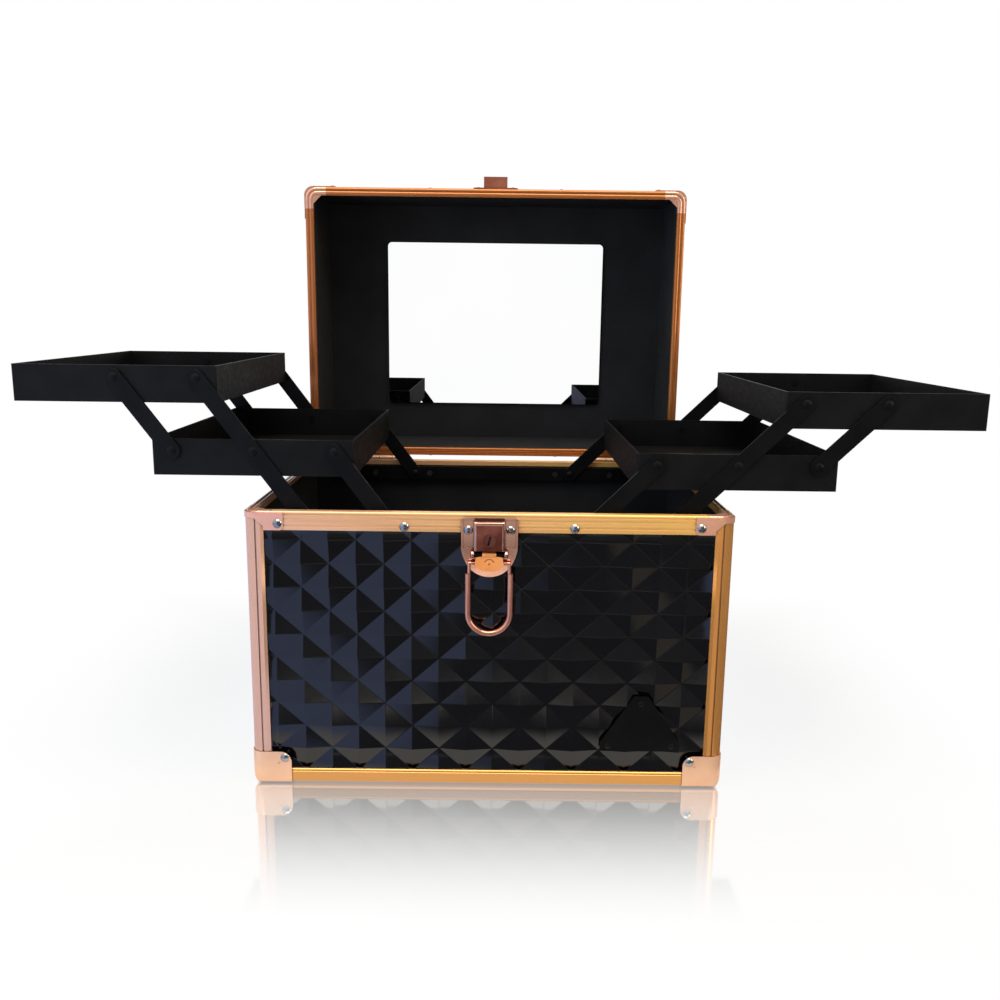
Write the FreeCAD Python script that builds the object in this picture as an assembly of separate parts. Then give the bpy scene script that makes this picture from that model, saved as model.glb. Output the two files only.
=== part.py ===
import FreeCAD, Part
import math
import os

from FreeCAD import Vector

os.makedirs("parts", exist_ok=True)

# Closed case, in millimetres
case_width = 340.0
case_depth = 240.0
base_height = 203.0
lid_height = 100.0
rim_gap = 0.3
lid_open_angle = 90.0

# Clearances
pivot_clearance = 0.05
seat_gap = 0.2
face_gap = 0.02
body_gap = 0.3

# Walls, from the outer face inwards
edge_radius = 7.4
long_end_radius = 3.2
short_end_radius = 8.4
flange_thickness = 1.4
facet_relief = 2.8
board_thickness = 1.4
top_board_thickness = 5.6
floor_thickness = 6.2
lining_thickness = 0.6
panel_end_inset = 5.0

# Raised diamond pattern: half a diamond each way, and one peak of the front wall below the rim
facet_half_width = 19.3
facet_half_height = 17.25
front_peak_x = 3.4
front_peak_drop = 55.3
facet_least_strip = 2.0

# Corner posts
post_leg = 13.6
post_groove_width = 1.1
post_groove_depth = 1.0
post_lip_width = 2.2
post_lip_drop = 0.5

# Rim rails
rail_height = 13.6
rail_web = 2.0
rail_bead = 2.0
rail_inner_height = 4.4
rail_inner_thickness = 0.8
rail_groove = 0.5
rail_lip_height = 3.0
rail_band_height = 4.2
rail_top_groove = 2.8
rail_top_band = 3.2

# Rails along the closed end of each half
end_rail_height = 11.0
end_rail_reach = 13.0
end_rail_groove_height = 9.2

# Rim corners with riveted tabs
rim_corner_radius = 10.6
rim_corner_leg = 19.0
rim_corner_web = 7.2
collar_height = 5.2
collar_drop = 1.0
tab_thickness = 0.6
tab_bite = 0.7
tab_reach = 27.6
tab_top_drop = 1.2
tab_round = 2.0
tab_rivet_inset = 23.6
tab_rivet_drop = 8.9

# Caps on the corners of the closed end
cap_thickness = 0.8
cap_leg = 28.2
cap_height = 24.8
cap_round = 8.0
cap_rivet_inset = 23.5
cap_rivet_height = 20.4
cap_dimple_radius = 1.5
cap_dimple_depth = 0.5
cap_dimple_shift = 4.0

# Dome rivets of the frame
rivet_head_radius = 3.2
rivet_head_height = 1.6
rivet_shank_radius = 1.5
rivet_end_margin = 1.2
long_rail_rivet_x = 59.0
short_rail_rivet_x = 42.0
rail_rivet_drop = 10.2

# Tray strips and arms
strip_thickness = 5.4
strip_height = 12.0
strip_drop = 5.2
strip_end_inset = 28.0
arm_thickness = 1.4
arm_width = 12.0
arm_pitch = 62.5
pivot_spacing = 56.2
base_pivot_inset = 42.4
left_lean_angle = 36.5
right_lean_angle = 45.4
main_arm_pitches = 2
short_arm_pitches = 1
tray_gap = 0.4
strip_screw_radius = 1.2
strip_screw_head = 2.6
strip_screw_sink = 0.8
strip_screw_length = 6.8
strip_screw_inset = 34.0
strip_screw_spacing = 50.0

# Trays
tray_width = 140.0
tray_height = 25.4
tray_wall = 1.6
tray_corner = 1.2
tray_pivot_drop = 8.2
upper_pivot_inset = 14.0

# Pivot rivets
pivot_shank_radius = 1.6
pivot_head_radius = 3.1
pivot_head_height = 1.0
pivot_tail_radius = 2.8
pivot_tail_height = 0.8
pivot_head_gap = 0.15

# Rear hinges
hinge_inset = 70.0
hinge_width = 36.0
hinge_leaf_height = 13.0
hinge_leaf_thickness = 1.2
hinge_axis_offset = 3.0
knuckle_radius = 2.6
hinge_pin_radius = 1.3
hinge_rivet_x = 11.0
hinge_rivet_drop = 8.6

# Front latch, with heights below the rim
latch_plate_width = 39.2
latch_plate_thickness = 1.2
latch_plate_top = 3.0
latch_plate_taper = 25.5
latch_plate_heel = 36.6
latch_plate_heel_half_width = 15.4
latch_plate_side_bulge = 0.6
latch_plate_bottom = 45.0
latch_plate_round = 4.0
latch_well_inner_x = 11.0
latch_well_outer_x = 18.4
latch_well_top = 4.4
latch_well_bottom = 24.0
latch_well_depth = 0.5
latch_rivet_x = 14.6
latch_rivet_drop = 11.8
lock_width = 21.0
lock_top = 4.4
lock_bottom = 25.0
lock_depth = 8.0
lock_round = 1.5
lock_frame_side = 1.7
lock_frame_top = 2.4
lock_pane_depth = 0.6
plug_drop = 17.4
plug_radius = 4.4
plug_length = 5.5
plug_proud = 0.4
key_slot_width = 1.4
key_slot_length = 6.4
key_slot_depth = 2.0
key_slot_tilt = 14.0
lever_pin_drop = 28.4
lever_pin_standoff = 3.6
lever_pin_radius = 1.5
lever_pin_half_length = 12.8
ear_inner_x = 10.6
ear_thickness = 1.8
ear_radius = 3.0
lever_half_width = 10.0
lever_waist_drop = 6.4
lever_top_half_width = 9.2
lever_top_drop = 1.2
lever_crown = 1.0
lever_heel_half_width = 9.4
lever_heel_drop = 7.8
lever_length = 11.3
lever_thickness = 4.4
lever_barrel_radius = 2.6
lever_barrel_half_length = 4.8
lever_mark_half_width = 3.5
lever_mark_top = 2.0
lever_mark_low = 4.5
lever_mark_width = 0.8
lever_mark_depth = 0.4
lever_dot_drop = 5.7
lever_dot_radius = 0.7
bail_drop = 5.8
bail_wire_radius = 1.9
bail_pin_radius = 1.1
bail_pin_bite = 2.4
bail_bore_depth = 3.0
bail_half_width = 14.7
bail_length = 50.7
bail_leg_half_width = 14.0
bail_leg_length = 7.5
bail_leg_bite = 2.0

# Catch on the lid, with heights above the rim
catch_plate_width = 40.0
catch_plate_low = 2.5
catch_plate_high = 18.0
catch_plate_thickness = 1.2
catch_plate_round = 3.0
catch_width = 21.0
catch_low = 3.5
catch_neck_high = 10.0
catch_lip_high = 12.6
catch_neck_depth = 7.0
catch_lip_depth = 2.4
catch_rivet_x = 15.4
catch_rivet_height = 12.0

# Bare badge plate
badge_inset = 60.0
badge_bottom = 28.0
badge_height = 42.0
badge_half_width = 28.8
badge_tip_half_width = 5.0
badge_side_rise = 6.4
badge_thickness = 1.0
badge_screw_radius = 1.0
badge_screw_head = 2.0
badge_screw_height = 0.7
badge_screw_length = 3.6
badge_screw_inset = 5.8
badge_screw_rise = 3.8

# Mirror in the lid
mirror_width = 212.0
mirror_height = 157.5
mirror_thickness = 3.0
mirror_round = 4.0

# Carry handle on the lid
handle_half_span = 58.0
bracket_length = 30.0
bracket_width = 22.0
bracket_thickness = 1.6
bracket_ear_gap = 10.0
bracket_ear_thickness = 2.2
bracket_ear_radius = 5.0
bracket_rivet_x = 11.6
handle_pivot_height = 12.0
handle_pin_radius = 2.0
handle_boss_radius = 4.6
handle_boss_gap = 0.3
handle_wire_radius = 4.0
handle_reach = 28.0
handle_bend_radius = 12.0
sleeve_radius = 8.0
sleeve_half_length = 40.0
sleeve_round = 2.5

# Places that follow from the sizes above
half_width = case_width / 2
half_depth = case_depth / 2
front_y = -half_depth
peak_inset = flange_thickness + seat_gap
valley_inset = peak_inset + facet_relief
wall_inset = valley_inset + board_thickness
lining_inset = wall_inset + lining_thickness
rail_inner_inset = lining_inset + seat_gap
rail_depth = rail_inner_inset + rail_inner_thickness
wall_top = -(rail_web + seat_gap)
end_peak = cap_thickness + flange_thickness + seat_gap
strip_inset = lining_inset + strip_thickness
arm_inset = strip_inset + body_gap
tray_inset = arm_inset + arm_thickness + tray_gap
strip_top = base_height - strip_drop
base_pivot_z = strip_top - strip_height / 2
base_pivot_x = half_width - base_pivot_inset
strip_half_length = half_width - strip_end_inset
outer_screw_x = strip_half_length - strip_screw_inset
inner_screw_x = outer_screw_x - strip_screw_spacing
badge_x = half_width - badge_inset
hinge_x = half_width - hinge_inset
hinge_y = half_depth + hinge_axis_offset
hinge_z = base_height + rim_gap / 2
lid_top = base_height + rim_gap + lid_height

sides = {
    "front": (case_width, half_depth, 0),
    "right": (case_depth, half_width, 90),
    "rear": (case_width, half_depth, 180),
    "left": (case_depth, half_width, 270),
}


# Basic shapes

def block(x0, x1, y0, y1, z0, z1):
    return Part.makeBox(x1 - x0, y1 - y0, z1 - z0, Vector(x0, y0, z0))


def rod(start, direction, radius, length):
    return Part.makeCylinder(radius, length, start, direction)


def face_from(start, steps, place):
    """A flat face: each step is a point, or a (middle, end) pair for an arc."""
    edges = []
    here = start
    for step in list(steps) + [start]:
        if isinstance(step[0], tuple):
            middle, end = step
            edges.append(Part.Arc(place(here), place(middle), place(end)).toShape())
        else:
            end = step
            edges.append(Part.LineSegment(place(here), place(end)).toShape())
        here = end
    return Part.Face(Part.Wire(edges))


def turned(shape, angle, axis=Vector(0, 0, 1), centre=Vector(0, 0, 0)):
    copy = shape.copy()
    copy.rotate(centre, axis, angle)
    return copy


def moved(shape, x=0.0, y=0.0, z=0.0):
    copy = shape.copy()
    copy.translate(Vector(x, y, z))
    return copy


def four_corners(shape):
    """The front left piece and its mirror images in the other corners."""
    right = shape.mirror(Vector(0, 0, 0), Vector(1, 0, 0))
    pair = [shape, right]
    return pair + [piece.mirror(Vector(0, 0, 0), Vector(0, 1, 0)) for piece in pair]


def edges_at(shape, test):
    return [edge for edge in shape.Edges if all(test(vertex.Point) for vertex in edge.Vertexes)]


def near(value, target):
    return abs(value - target) < 1e-4


def cut_all(shape, tools):
    return shape.cut(Part.makeCompound(tools)) if tools else shape


# Raised diamond panels

def lattice_lines(low, high, origin, pitch):
    """Positions of the pattern's lines on a panel, with each line's number counted from a peak."""
    first = math.ceil((low - origin) / pitch)
    last = math.floor((high - origin) / pitch)
    inner = [origin + number * pitch for number in range(first, last + 1)]
    kept = [p for p in inner if p - low > facet_least_strip and high - p > facet_least_strip]
    return [(p, (p - origin) / pitch) for p in [low] + kept + [high]]


def facet_height(column, row):
    """Height of the pattern, from 0 in the valleys to 1 on the peaks."""
    i = math.floor(column)
    j = math.floor(row)
    across = column - i
    up = row - j
    rising = across + up - 1 if (i + j) % 2 == 0 else across - up
    return abs(rising)


def diamond_panel(x0, x1, z0, z1, reach, origin, thickness):
    """A board of the given thickness whose outer face, towards -Y, carries the diamond pattern."""
    columns = lattice_lines(x0, x1, origin[0], facet_half_width)
    rows = lattice_lines(z0, z1, origin[1], facet_half_height)
    valley_y = valley_inset - reach
    back_y = valley_y + thickness

    def node(a, b):
        x, column = columns[a]
        z, row = rows[b]
        return Vector(x, valley_y - facet_relief * facet_height(column, row), z)

    def polygon(points):
        return Part.Face(Part.makePolygon(points + [points[0]]))

    faces = []
    last_column = len(columns) - 1
    last_row = len(rows) - 1
    for a in range(last_column):
        for b in range(last_row):
            low_left, low_right = node(a, b), node(a + 1, b)
            up_left, up_right = node(a, b + 1), node(a + 1, b + 1)
            middle_column = math.floor((columns[a][1] + columns[a + 1][1]) / 2)
            middle_row = math.floor((rows[b][1] + rows[b + 1][1]) / 2)
            if (middle_column + middle_row) % 2 == 0:
                faces.append(polygon([low_left, low_right, up_left]))
                faces.append(polygon([low_right, up_right, up_left]))
            else:
                faces.append(polygon([low_left, low_right, up_right]))
                faces.append(polygon([low_left, up_right, up_left]))
    for b, z in ((0, z0), (last_row, z1)):
        edge = [node(a, b) for a in range(last_column + 1)]
        faces.append(polygon(edge + [Vector(x1, back_y, z), Vector(x0, back_y, z)]))
    for a, x in ((0, x0), (last_column, x1)):
        edge = [node(a, b) for b in range(last_row + 1)]
        faces.append(polygon(edge + [Vector(x, back_y, z1), Vector(x, back_y, z0)]))
    back = [Vector(x, back_y, z) for x, z in ((x0, z0), (x1, z0), (x1, z1), (x0, z1))]
    faces.append(polygon(back))
    shell = Part.Shell(faces)
    shell.sewShape()
    solid = Part.Solid(shell)
    if solid.Volume < 0:
        solid.reverse()
    return solid


# Frame of one half of the case, with the rim at height 0 and the closed end at -height

def rim_top_steps(inner_inset):
    """Outline over the top of a rim rail, from the outer face to the given inset."""
    corner = rail_bead * (1 - math.sqrt(0.5))
    groove_end = rail_top_groove + 2 * rail_groove
    band_end = groove_end + rail_top_band
    return [
        ((corner, -corner), (rail_bead, 0)),
        (rail_top_groove, 0),
        (rail_top_groove + rail_groove / 2, -rail_groove),
        (groove_end, -rail_groove),
        ((groove_end + rail_top_band / 2, 0), (band_end, -rail_groove)),
        (inner_inset, -rail_groove),
    ]


def rim_rail(reach, x0, x1):
    lip_top = rail_lip_height - rail_height
    band_low = lip_top + rail_groove
    band_high = band_low + rail_band_height
    upper_low = band_high + rail_groove
    upper_high = -rail_bead - rail_groove
    start = (flange_thickness, -rail_height)
    steps = [
        (rail_groove, -rail_height),
        (0, lip_top - rail_groove),
        (0, lip_top - rail_groove / 2),
        (rail_groove, lip_top),
        (rail_groove, band_low),
        ((0, (band_low + band_high) / 2), (rail_groove, band_high)),
        (rail_groove, upper_low),
        ((0, (upper_low + upper_high) / 2), (rail_groove, upper_high)),
        (0, -rail_bead),
    ]
    steps += rim_top_steps(rail_depth)
    steps += [
        (rail_depth, -rail_inner_height),
        (rail_inner_inset, -rail_inner_height),
        (rail_inner_inset, -rail_web),
        (flange_thickness, -rail_web),
    ]
    face = face_from(start, steps, lambda p: Vector(x0, p[0] - reach, p[1]))
    return face.extrude(Vector(x1 - x0, 0, 0))


def end_rail(height, length, reach, radius):
    low = cap_thickness - height
    high = low + end_rail_height
    groove = low + end_rail_groove_height
    inner_radius = radius - flange_thickness
    centre = (radius, low + radius)
    outer_mid = (centre[0] - radius * math.sqrt(0.5), centre[1] - radius * math.sqrt(0.5))
    inner_mid = (centre[0] - inner_radius * math.sqrt(0.5), centre[1] - inner_radius * math.sqrt(0.5))
    start = (flange_thickness, high)
    steps = [
        (rail_groove, high),
        (0, high - rail_groove),
        (0, groove + rail_groove),
        (rail_groove, groove),
        (0, groove - rail_groove),
        (0, centre[1]),
        (outer_mid, (radius, low)),
        (end_rail_reach, low),
        (end_rail_reach, low + flange_thickness),
        (radius, low + flange_thickness),
        (inner_mid, (flange_thickness, centre[1])),
    ]
    x0 = post_leg + seat_gap - length / 2
    face = face_from(start, steps, lambda p: Vector(x0, p[0] - reach, p[1]))
    return face.extrude(Vector(-2 * x0, 0, 0))


def envelope(height, grow):
    """The rounded outer form of one half, grown evenly by a thickness."""
    low = cap_thickness - height - grow
    x, y = half_width + grow, half_depth + grow
    plan = block(-x, x, -y, y, low, edge_radius)
    plan = plan.makeFillet(edge_radius + grow, [e for e in plan.Edges if near(e.Length, edge_radius - low)])
    front = block(-x, x, -y - grow - edge_radius, y + grow + edge_radius, low, 2 * edge_radius)
    along_y = [edge for s in (-1, 1) for edge in edges_at(front, lambda p: near(p.z, low) and p.x * s > 0)]
    front = front.makeFillet(short_end_radius + grow, along_y)
    side = block(-x - grow - edge_radius, x + grow + edge_radius, -y, y, low, 2 * edge_radius)
    along_x = [edge for s in (-1, 1) for edge in edges_at(side, lambda p: near(p.z, low) and p.y * s > 0)]
    side = side.makeFillet(long_end_radius + grow, along_x)
    return plan.common(front).common(side)


def corner_post(height):
    groove = edge_radius + post_groove_width
    lip = post_leg - post_lip_width
    web_x = panel_end_inset - seat_gap
    web_y = wall_inset - seat_gap
    mid = edge_radius * (1 - math.sqrt(0.5))
    start = (post_leg, flange_thickness)
    steps = [
        (web_x, flange_thickness),
        (web_x, web_y),
        (flange_thickness, web_y),
        (flange_thickness, post_leg),
        (post_lip_drop, post_leg),
        (0, lip),
        (0, groove),
        (post_groove_depth, groove),
        (post_groove_depth, edge_radius),
        (0, edge_radius),
        ((mid, mid), (edge_radius, 0)),
        (edge_radius, post_groove_depth),
        (groove, post_groove_depth),
        (groove, 0),
        (lip, 0),
        (post_leg, post_lip_drop),
    ]
    low = cap_thickness - height
    face = face_from(start, steps, lambda p: Vector(p[0] - half_width, p[1] - half_depth, low))
    return face.extrude(Vector(0, 0, wall_top - low)).common(envelope(height, 0))


def rim_top_face(x, reach, inner_inset):
    """Cross-section of the top of a rim corner, standing across a side at the given place."""
    steps = [(0, -rail_bead)] if rail_web > rail_bead else []
    steps += rim_top_steps(inner_inset) + [(inner_inset, -rail_web)]
    return face_from((0, -rail_web), steps, lambda p: Vector(x, p[0] - reach, p[1]))


def rim_leg(length, reach):
    """Straight leg of a rim corner at the left end of a side, with its tab."""
    left = -length / 2
    full = post_leg + seat_gap
    top = rim_top_face(left + rim_corner_radius, reach, rail_depth)
    top = top.extrude(Vector(full - rim_corner_radius, 0, 0))
    return [top, rim_rail(reach, left + full, left + rim_corner_leg)] + rim_tab(length, reach)


def rim_corner():
    """The rounded rim corner at the front left, with a riveted tab down each outer face."""
    radius = rim_corner_radius
    centre = Vector(radius - half_width, radius - half_depth, 0)
    arc = rim_top_face(radius - half_width, half_depth, radius).revolve(centre, Vector(0, 0, 1), -90)
    pieces = rim_leg(case_width, half_depth) + [rim_collar()]
    for piece in rim_leg(case_depth, half_width):
        pieces.append(turned(piece.mirror(Vector(0, 0, 0), Vector(1, 0, 0)), -90))
    band_end = rail_top_groove + 2 * rail_groove + rail_top_band
    web_end = rail_depth + rim_corner_web
    fill = [
        (band_end, band_end),
        (web_end, band_end),
        (web_end, rail_depth),
        (rail_depth, web_end),
        (band_end, web_end),
    ]
    web = face_from(fill[0], fill[1:], lambda p: Vector(p[0] - half_width, p[1] - half_depth, -rail_web))
    pieces.append(web.extrude(Vector(0, 0, rail_web - rail_groove)))
    return arc.multiFuse(pieces).removeSplitter()


def rim_collar():
    """Quarter ring round the head of the post, with a roof that joins it to the rim."""
    foot = Vector(edge_radius - half_width, edge_radius - half_depth, -collar_height)
    up = Vector(0, 0, 1)
    ring = Part.makeCylinder(edge_radius + tab_thickness, collar_height - collar_drop, foot, up, 90)
    head = rod(foot, up, edge_radius + pivot_clearance, collar_height - rail_web)
    return turned(ring, 180, up, foot).cut(head)


def rim_tab(length, reach):
    """Plate of a rim corner on one outer face: over the post, over its own leg, and over the rail."""
    left = -length / 2
    start = (left + edge_radius, -tab_top_drop)
    steps = [
        (left + tab_reach, -tab_top_drop),
        (left + tab_reach, tab_round - rail_height),
        (left + tab_reach - tab_round, -rail_height),
        (left + post_leg, -rail_height),
        (left + post_leg, rail_lip_height - rail_height),
        (left + edge_radius, -collar_height),
    ]
    plate = face_from(start, steps, lambda p: Vector(p[0], -reach - tab_thickness, p[1]))
    plate = plate.extrude(Vector(0, tab_thickness - face_gap, 0))
    x0 = left + post_leg + seat_gap
    x1 = left + rim_corner_leg
    bite = block(x0, x1, -reach - tab_thickness, tab_bite - reach, rail_groove - rail_height, -rail_bead)
    return [plate, bite]


def corner_cap(height):
    """Pressed cap over one corner of the closed end."""
    shell = envelope(height, cap_thickness).cut(envelope(height, pivot_clearance))
    x0 = -half_width - cap_thickness
    y0 = front_y - cap_thickness
    reach = block(x0, cap_leg - half_width, y0, cap_leg - half_depth, -height, cap_height - height)
    x1 = cap_leg - half_width
    y1 = cap_leg - half_depth
    z1 = cap_height - height
    rounded = edges_at(reach, lambda p: near(p.x, x1) and near(p.y, y1))
    rounded += edges_at(reach, lambda p: near(p.x, x1) and near(p.z, z1))
    rounded += edges_at(reach, lambda p: near(p.y, y1) and near(p.z, z1))
    lift = cap_thickness + cap_dimple_radius - cap_dimple_depth
    inset = cap_rivet_inset - cap_dimple_shift
    z = cap_rivet_height - cap_dimple_shift - height
    dimples = [
        Part.makeSphere(cap_dimple_radius, Vector(inset - half_width, front_y - lift, z)),
        Part.makeSphere(cap_dimple_radius, Vector(-half_width - lift, inset - half_depth, z)),
    ]
    return cut_all(shell.common(reach.makeFillet(cap_round, rounded)), dimples)


# Rivets of the frame, made on the front face of a side and turned into place

def dome(x, y, z, radius, height):
    """Domed head that swells towards -Y from the given spot."""
    ball = (radius * radius + height * height) / (2 * height)
    sphere = Part.makeSphere(ball, Vector(x, y - height + ball, z))
    return sphere.common(block(x - ball, x + ball, y - ball, y, z - ball, z + ball))


def frame_rivet(x, y, z, end_y):
    shank = rod(Vector(x, y - rivet_head_height / 2, z), Vector(0, 1, 0), rivet_shank_radius,
                end_y - y + rivet_head_height / 2)
    return dome(x, y, z, rivet_head_radius, rivet_head_height).fuse(shank).removeSplitter()


def rivet_drill(x, y, z, end_y):
    return rod(Vector(x, y - rivet_head_height, z), Vector(0, 1, 0), rivet_shank_radius + pivot_clearance,
               end_y - y + rivet_head_height + seat_gap)


def frame_spots(height, length, rail_x):
    """Spots (x, seat inset, z) of one side's rivets, by the piece that each one holds."""
    tab_x = length / 2 - tab_rivet_inset
    cap_x = length / 2 - cap_rivet_inset
    cap_z = cap_rivet_height - height
    return {
        "rail": [(s * rail_x, 0, -rail_rivet_drop) for s in (-1, 1)],
        "tab": [(s * tab_x, -tab_thickness, -tab_rivet_drop) for s in (-1, 1)],
        "cap": [(s * cap_x, -cap_thickness, cap_z) for s in (-1, 1)],
    }


# One half of the case

def build_half(height, end_back, faceted_end, extra_spots):
    """All the panels and frame pieces of one half; extra_spots adds rivets (x, seat inset, z) to a side."""
    wall_low = end_back + seat_gap - height
    rivet_end = wall_inset - rivet_end_margin
    half = {"rivets": [], "rim_rails": [], "end_rails": []}
    corner_drills = []
    for side, (length, reach, turn) in sides.items():
        rail_x = long_rail_rivet_x if length == case_width else short_rail_rivet_x
        spots = frame_spots(height, length, rail_x)
        spots["extra"] = extra_spots.get(side, [])
        drills = {}
        for held, places in spots.items():
            drills[held] = []
            for x, seat, z in places:
                half["rivets"].append(turned(frame_rivet(x, seat - reach, z, rivet_end - reach), turn))
                drills[held].append(rivet_drill(x, seat - reach, z, rivet_end - reach))
        end_x = length / 2 - (panel_end_inset if length == case_width else wall_inset)
        origin = (front_peak_x, -front_peak_drop) if side == "front" else (0, -front_peak_drop)
        panel = diamond_panel(-end_x, end_x, wall_low, wall_top, reach, origin, board_thickness)
        panel = cut_all(panel, [tool for tools in drills.values() for tool in tools])
        half[side] = turned(panel, turn)
        rail_end = length / 2 - rim_corner_leg - seat_gap
        rail = rim_rail(reach, -rail_end, rail_end)
        rail = cut_all(rail, drills["rail"] + drills["tab"] + drills["extra"])
        half["rim_rails"].append(turned(rail, turn))
        end_radius = long_end_radius if length == case_width else short_end_radius
        bottom = cut_all(end_rail(height, length, reach, end_radius), drills["cap"])
        half["end_rails"].append(turned(bottom, turn))
        corner_drills += [turned(tool, turn) for tool in drills["tab"] + drills["cap"]]
    half["posts"] = four_corners(corner_post(height))
    half["rim_corners"] = [cut_all(piece, corner_drills) for piece in four_corners(rim_corner())]
    half["end_caps"] = [cut_all(piece, corner_drills) for piece in four_corners(corner_cap(height))]
    inset = edge_radius + seat_gap
    low = end_peak - height
    if faceted_end:
        # The pattern is made standing, then laid down over the closed end
        flat = diamond_panel(inset - half_width, half_width - inset, inset - half_depth,
                             half_depth - inset, 0, (0, 0), top_board_thickness)
        half["end"] = moved(turned(flat, 90, Vector(1, 0, 0)), z=low - peak_inset)
    else:
        half["end"] = block(inset - half_width, half_width - inset, inset - half_depth, half_depth - inset,
                            low, end_back - height)
    x, y = half_width - wall_inset, half_depth - wall_inset
    t = lining_thickness
    outer = block(-x, x, -y, y, end_back - height, wall_top)
    half["lining"] = outer.cut(block(t - x, x - t, t - y, y - t, end_back + t - height, wall_top))
    return half


# Latch on the front of the base, made at its place

rim_z = base_height
plate_face_y = front_y - face_gap - latch_plate_thickness
pin_y = plate_face_y - lever_pin_standoff
pin_z = rim_z - lever_pin_drop
bail_z = pin_z - bail_drop
lock_face_y = plate_face_y - lock_depth
plug_face_y = lock_face_y + lock_pane_depth - plug_proud
plug_z = rim_z - plug_drop


def latch_plate():
    half = latch_plate_width / 2
    r = latch_plate_round
    k = r * (1 - math.sqrt(0.5))
    heel = latch_plate_heel_half_width
    waist = (half + heel) / 2 + latch_plate_side_bulge
    waist_drop = (latch_plate_taper + latch_plate_heel) / 2
    start = (-half, -latch_plate_top - r)
    steps = [
        ((k - half, -latch_plate_top - k), (r - half, -latch_plate_top)),
        (half - r, -latch_plate_top),
        ((half - k, -latch_plate_top - k), (half, -latch_plate_top - r)),
        (half, -latch_plate_taper),
        ((waist, -waist_drop), (heel, -latch_plate_heel)),
        ((0, -latch_plate_bottom), (-heel, -latch_plate_heel)),
        ((-waist, -waist_drop), (-half, -latch_plate_taper)),
    ]
    face = face_from(start, steps, lambda p: Vector(p[0], plate_face_y, rim_z + p[1]))
    plate = face.extrude(Vector(0, latch_plate_thickness, 0))
    for s in (-1, 1):
        x0 = min(s * ear_inner_x, s * (ear_inner_x + ear_thickness))
        ear = rod(Vector(x0, pin_y, pin_z), Vector(1, 0, 0), ear_radius, ear_thickness)
        web = block(x0, x0 + ear_thickness, pin_y, plate_face_y + face_gap,
                    pin_z - ear_radius, pin_z + ear_radius)
        plate = plate.fuse(ear.fuse(web))
        x0 = min(s * latch_well_inner_x, s * latch_well_outer_x)
        well = block(x0, x0 + latch_well_outer_x - latch_well_inner_x, plate_face_y,
                     plate_face_y + latch_well_depth, rim_z - latch_well_bottom, rim_z - latch_well_top)
        plate = plate.cut(well)
    plate = plate.cut(rod(Vector(-latch_plate_width, pin_y, pin_z), Vector(1, 0, 0),
                          lever_pin_radius + pivot_clearance, 2 * latch_plate_width))
    return plate.removeSplitter()


def lock_body():
    """Lock case with a raised frame round the top and sides of its sunken face."""
    half = lock_width / 2
    low = rim_z - lock_bottom
    high = rim_z - lock_top
    body = block(-half, half, lock_face_y, plate_face_y, low, high)
    body = body.makeFillet(lock_round, edges_at(body, lambda p: near(p.y, lock_face_y)))
    pane = block(lock_frame_side - half, half - lock_frame_side, lock_face_y, lock_face_y + lock_pane_depth,
                 low, high - lock_frame_top)
    bore = rod(Vector(0, plug_face_y, plug_z), Vector(0, 1, 0), plug_radius + pivot_clearance,
               plug_length + body_gap)
    return cut_all(body, [pane, bore])


def lock_plug():
    plug = rod(Vector(0, plug_face_y, plug_z), Vector(0, 1, 0), plug_radius, plug_length)
    slot = block(-key_slot_width / 2, key_slot_width / 2, plug_face_y, plug_face_y + key_slot_depth,
                 plug_z - key_slot_length / 2, plug_z + key_slot_length / 2)
    return plug.cut(turned(slot, key_slot_tilt, Vector(0, 1, 0), Vector(0, plug_face_y, plug_z)))


def latch_lever():
    half = lever_half_width
    top = lever_top_half_width
    heel = lever_heel_half_width
    face_y = pin_y - lever_thickness / 2
    place = lambda p: Vector(p[0], face_y, pin_z + p[1])
    start = (-half, -lever_waist_drop)
    steps = [
        (-heel, -lever_heel_drop),
        ((0, -lever_length), (heel, -lever_heel_drop)),
        (half, -lever_waist_drop),
        (top, -lever_top_drop),
        ((0, lever_crown - lever_top_drop), (-top, -lever_top_drop)),
    ]
    lever = face_from(start, steps, place).extrude(Vector(0, lever_thickness, 0))
    barrel = rod(Vector(-lever_barrel_half_length, pin_y, pin_z), Vector(1, 0, 0), lever_barrel_radius,
                 2 * lever_barrel_half_length)
    lever = lever.fuse(barrel)
    mark = lever_mark_half_width
    inner = mark - lever_mark_width
    arch = [
        ((0, -lever_mark_top), (mark, -lever_mark_low)),
        (inner, -lever_mark_low),
        ((0, -lever_mark_top - lever_mark_width), (-inner, -lever_mark_low)),
    ]
    tools = [
        rod(Vector(-half, pin_y, pin_z), Vector(1, 0, 0), lever_pin_radius + pivot_clearance, 2 * half),
        face_from((-mark, -lever_mark_low), arch, place).extrude(Vector(0, lever_mark_depth, 0)),
        rod(place((0, -lever_dot_drop)), Vector(0, 1, 0), lever_dot_radius, lever_mark_depth),
    ]
    for s in (-1, 1):
        tools.append(rod(Vector(s * half, pin_y, bail_z), Vector(-s, 0, 0), bail_pin_radius + pivot_clearance,
                         bail_bore_depth))
    return cut_all(lever, tools).removeSplitter()


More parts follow.
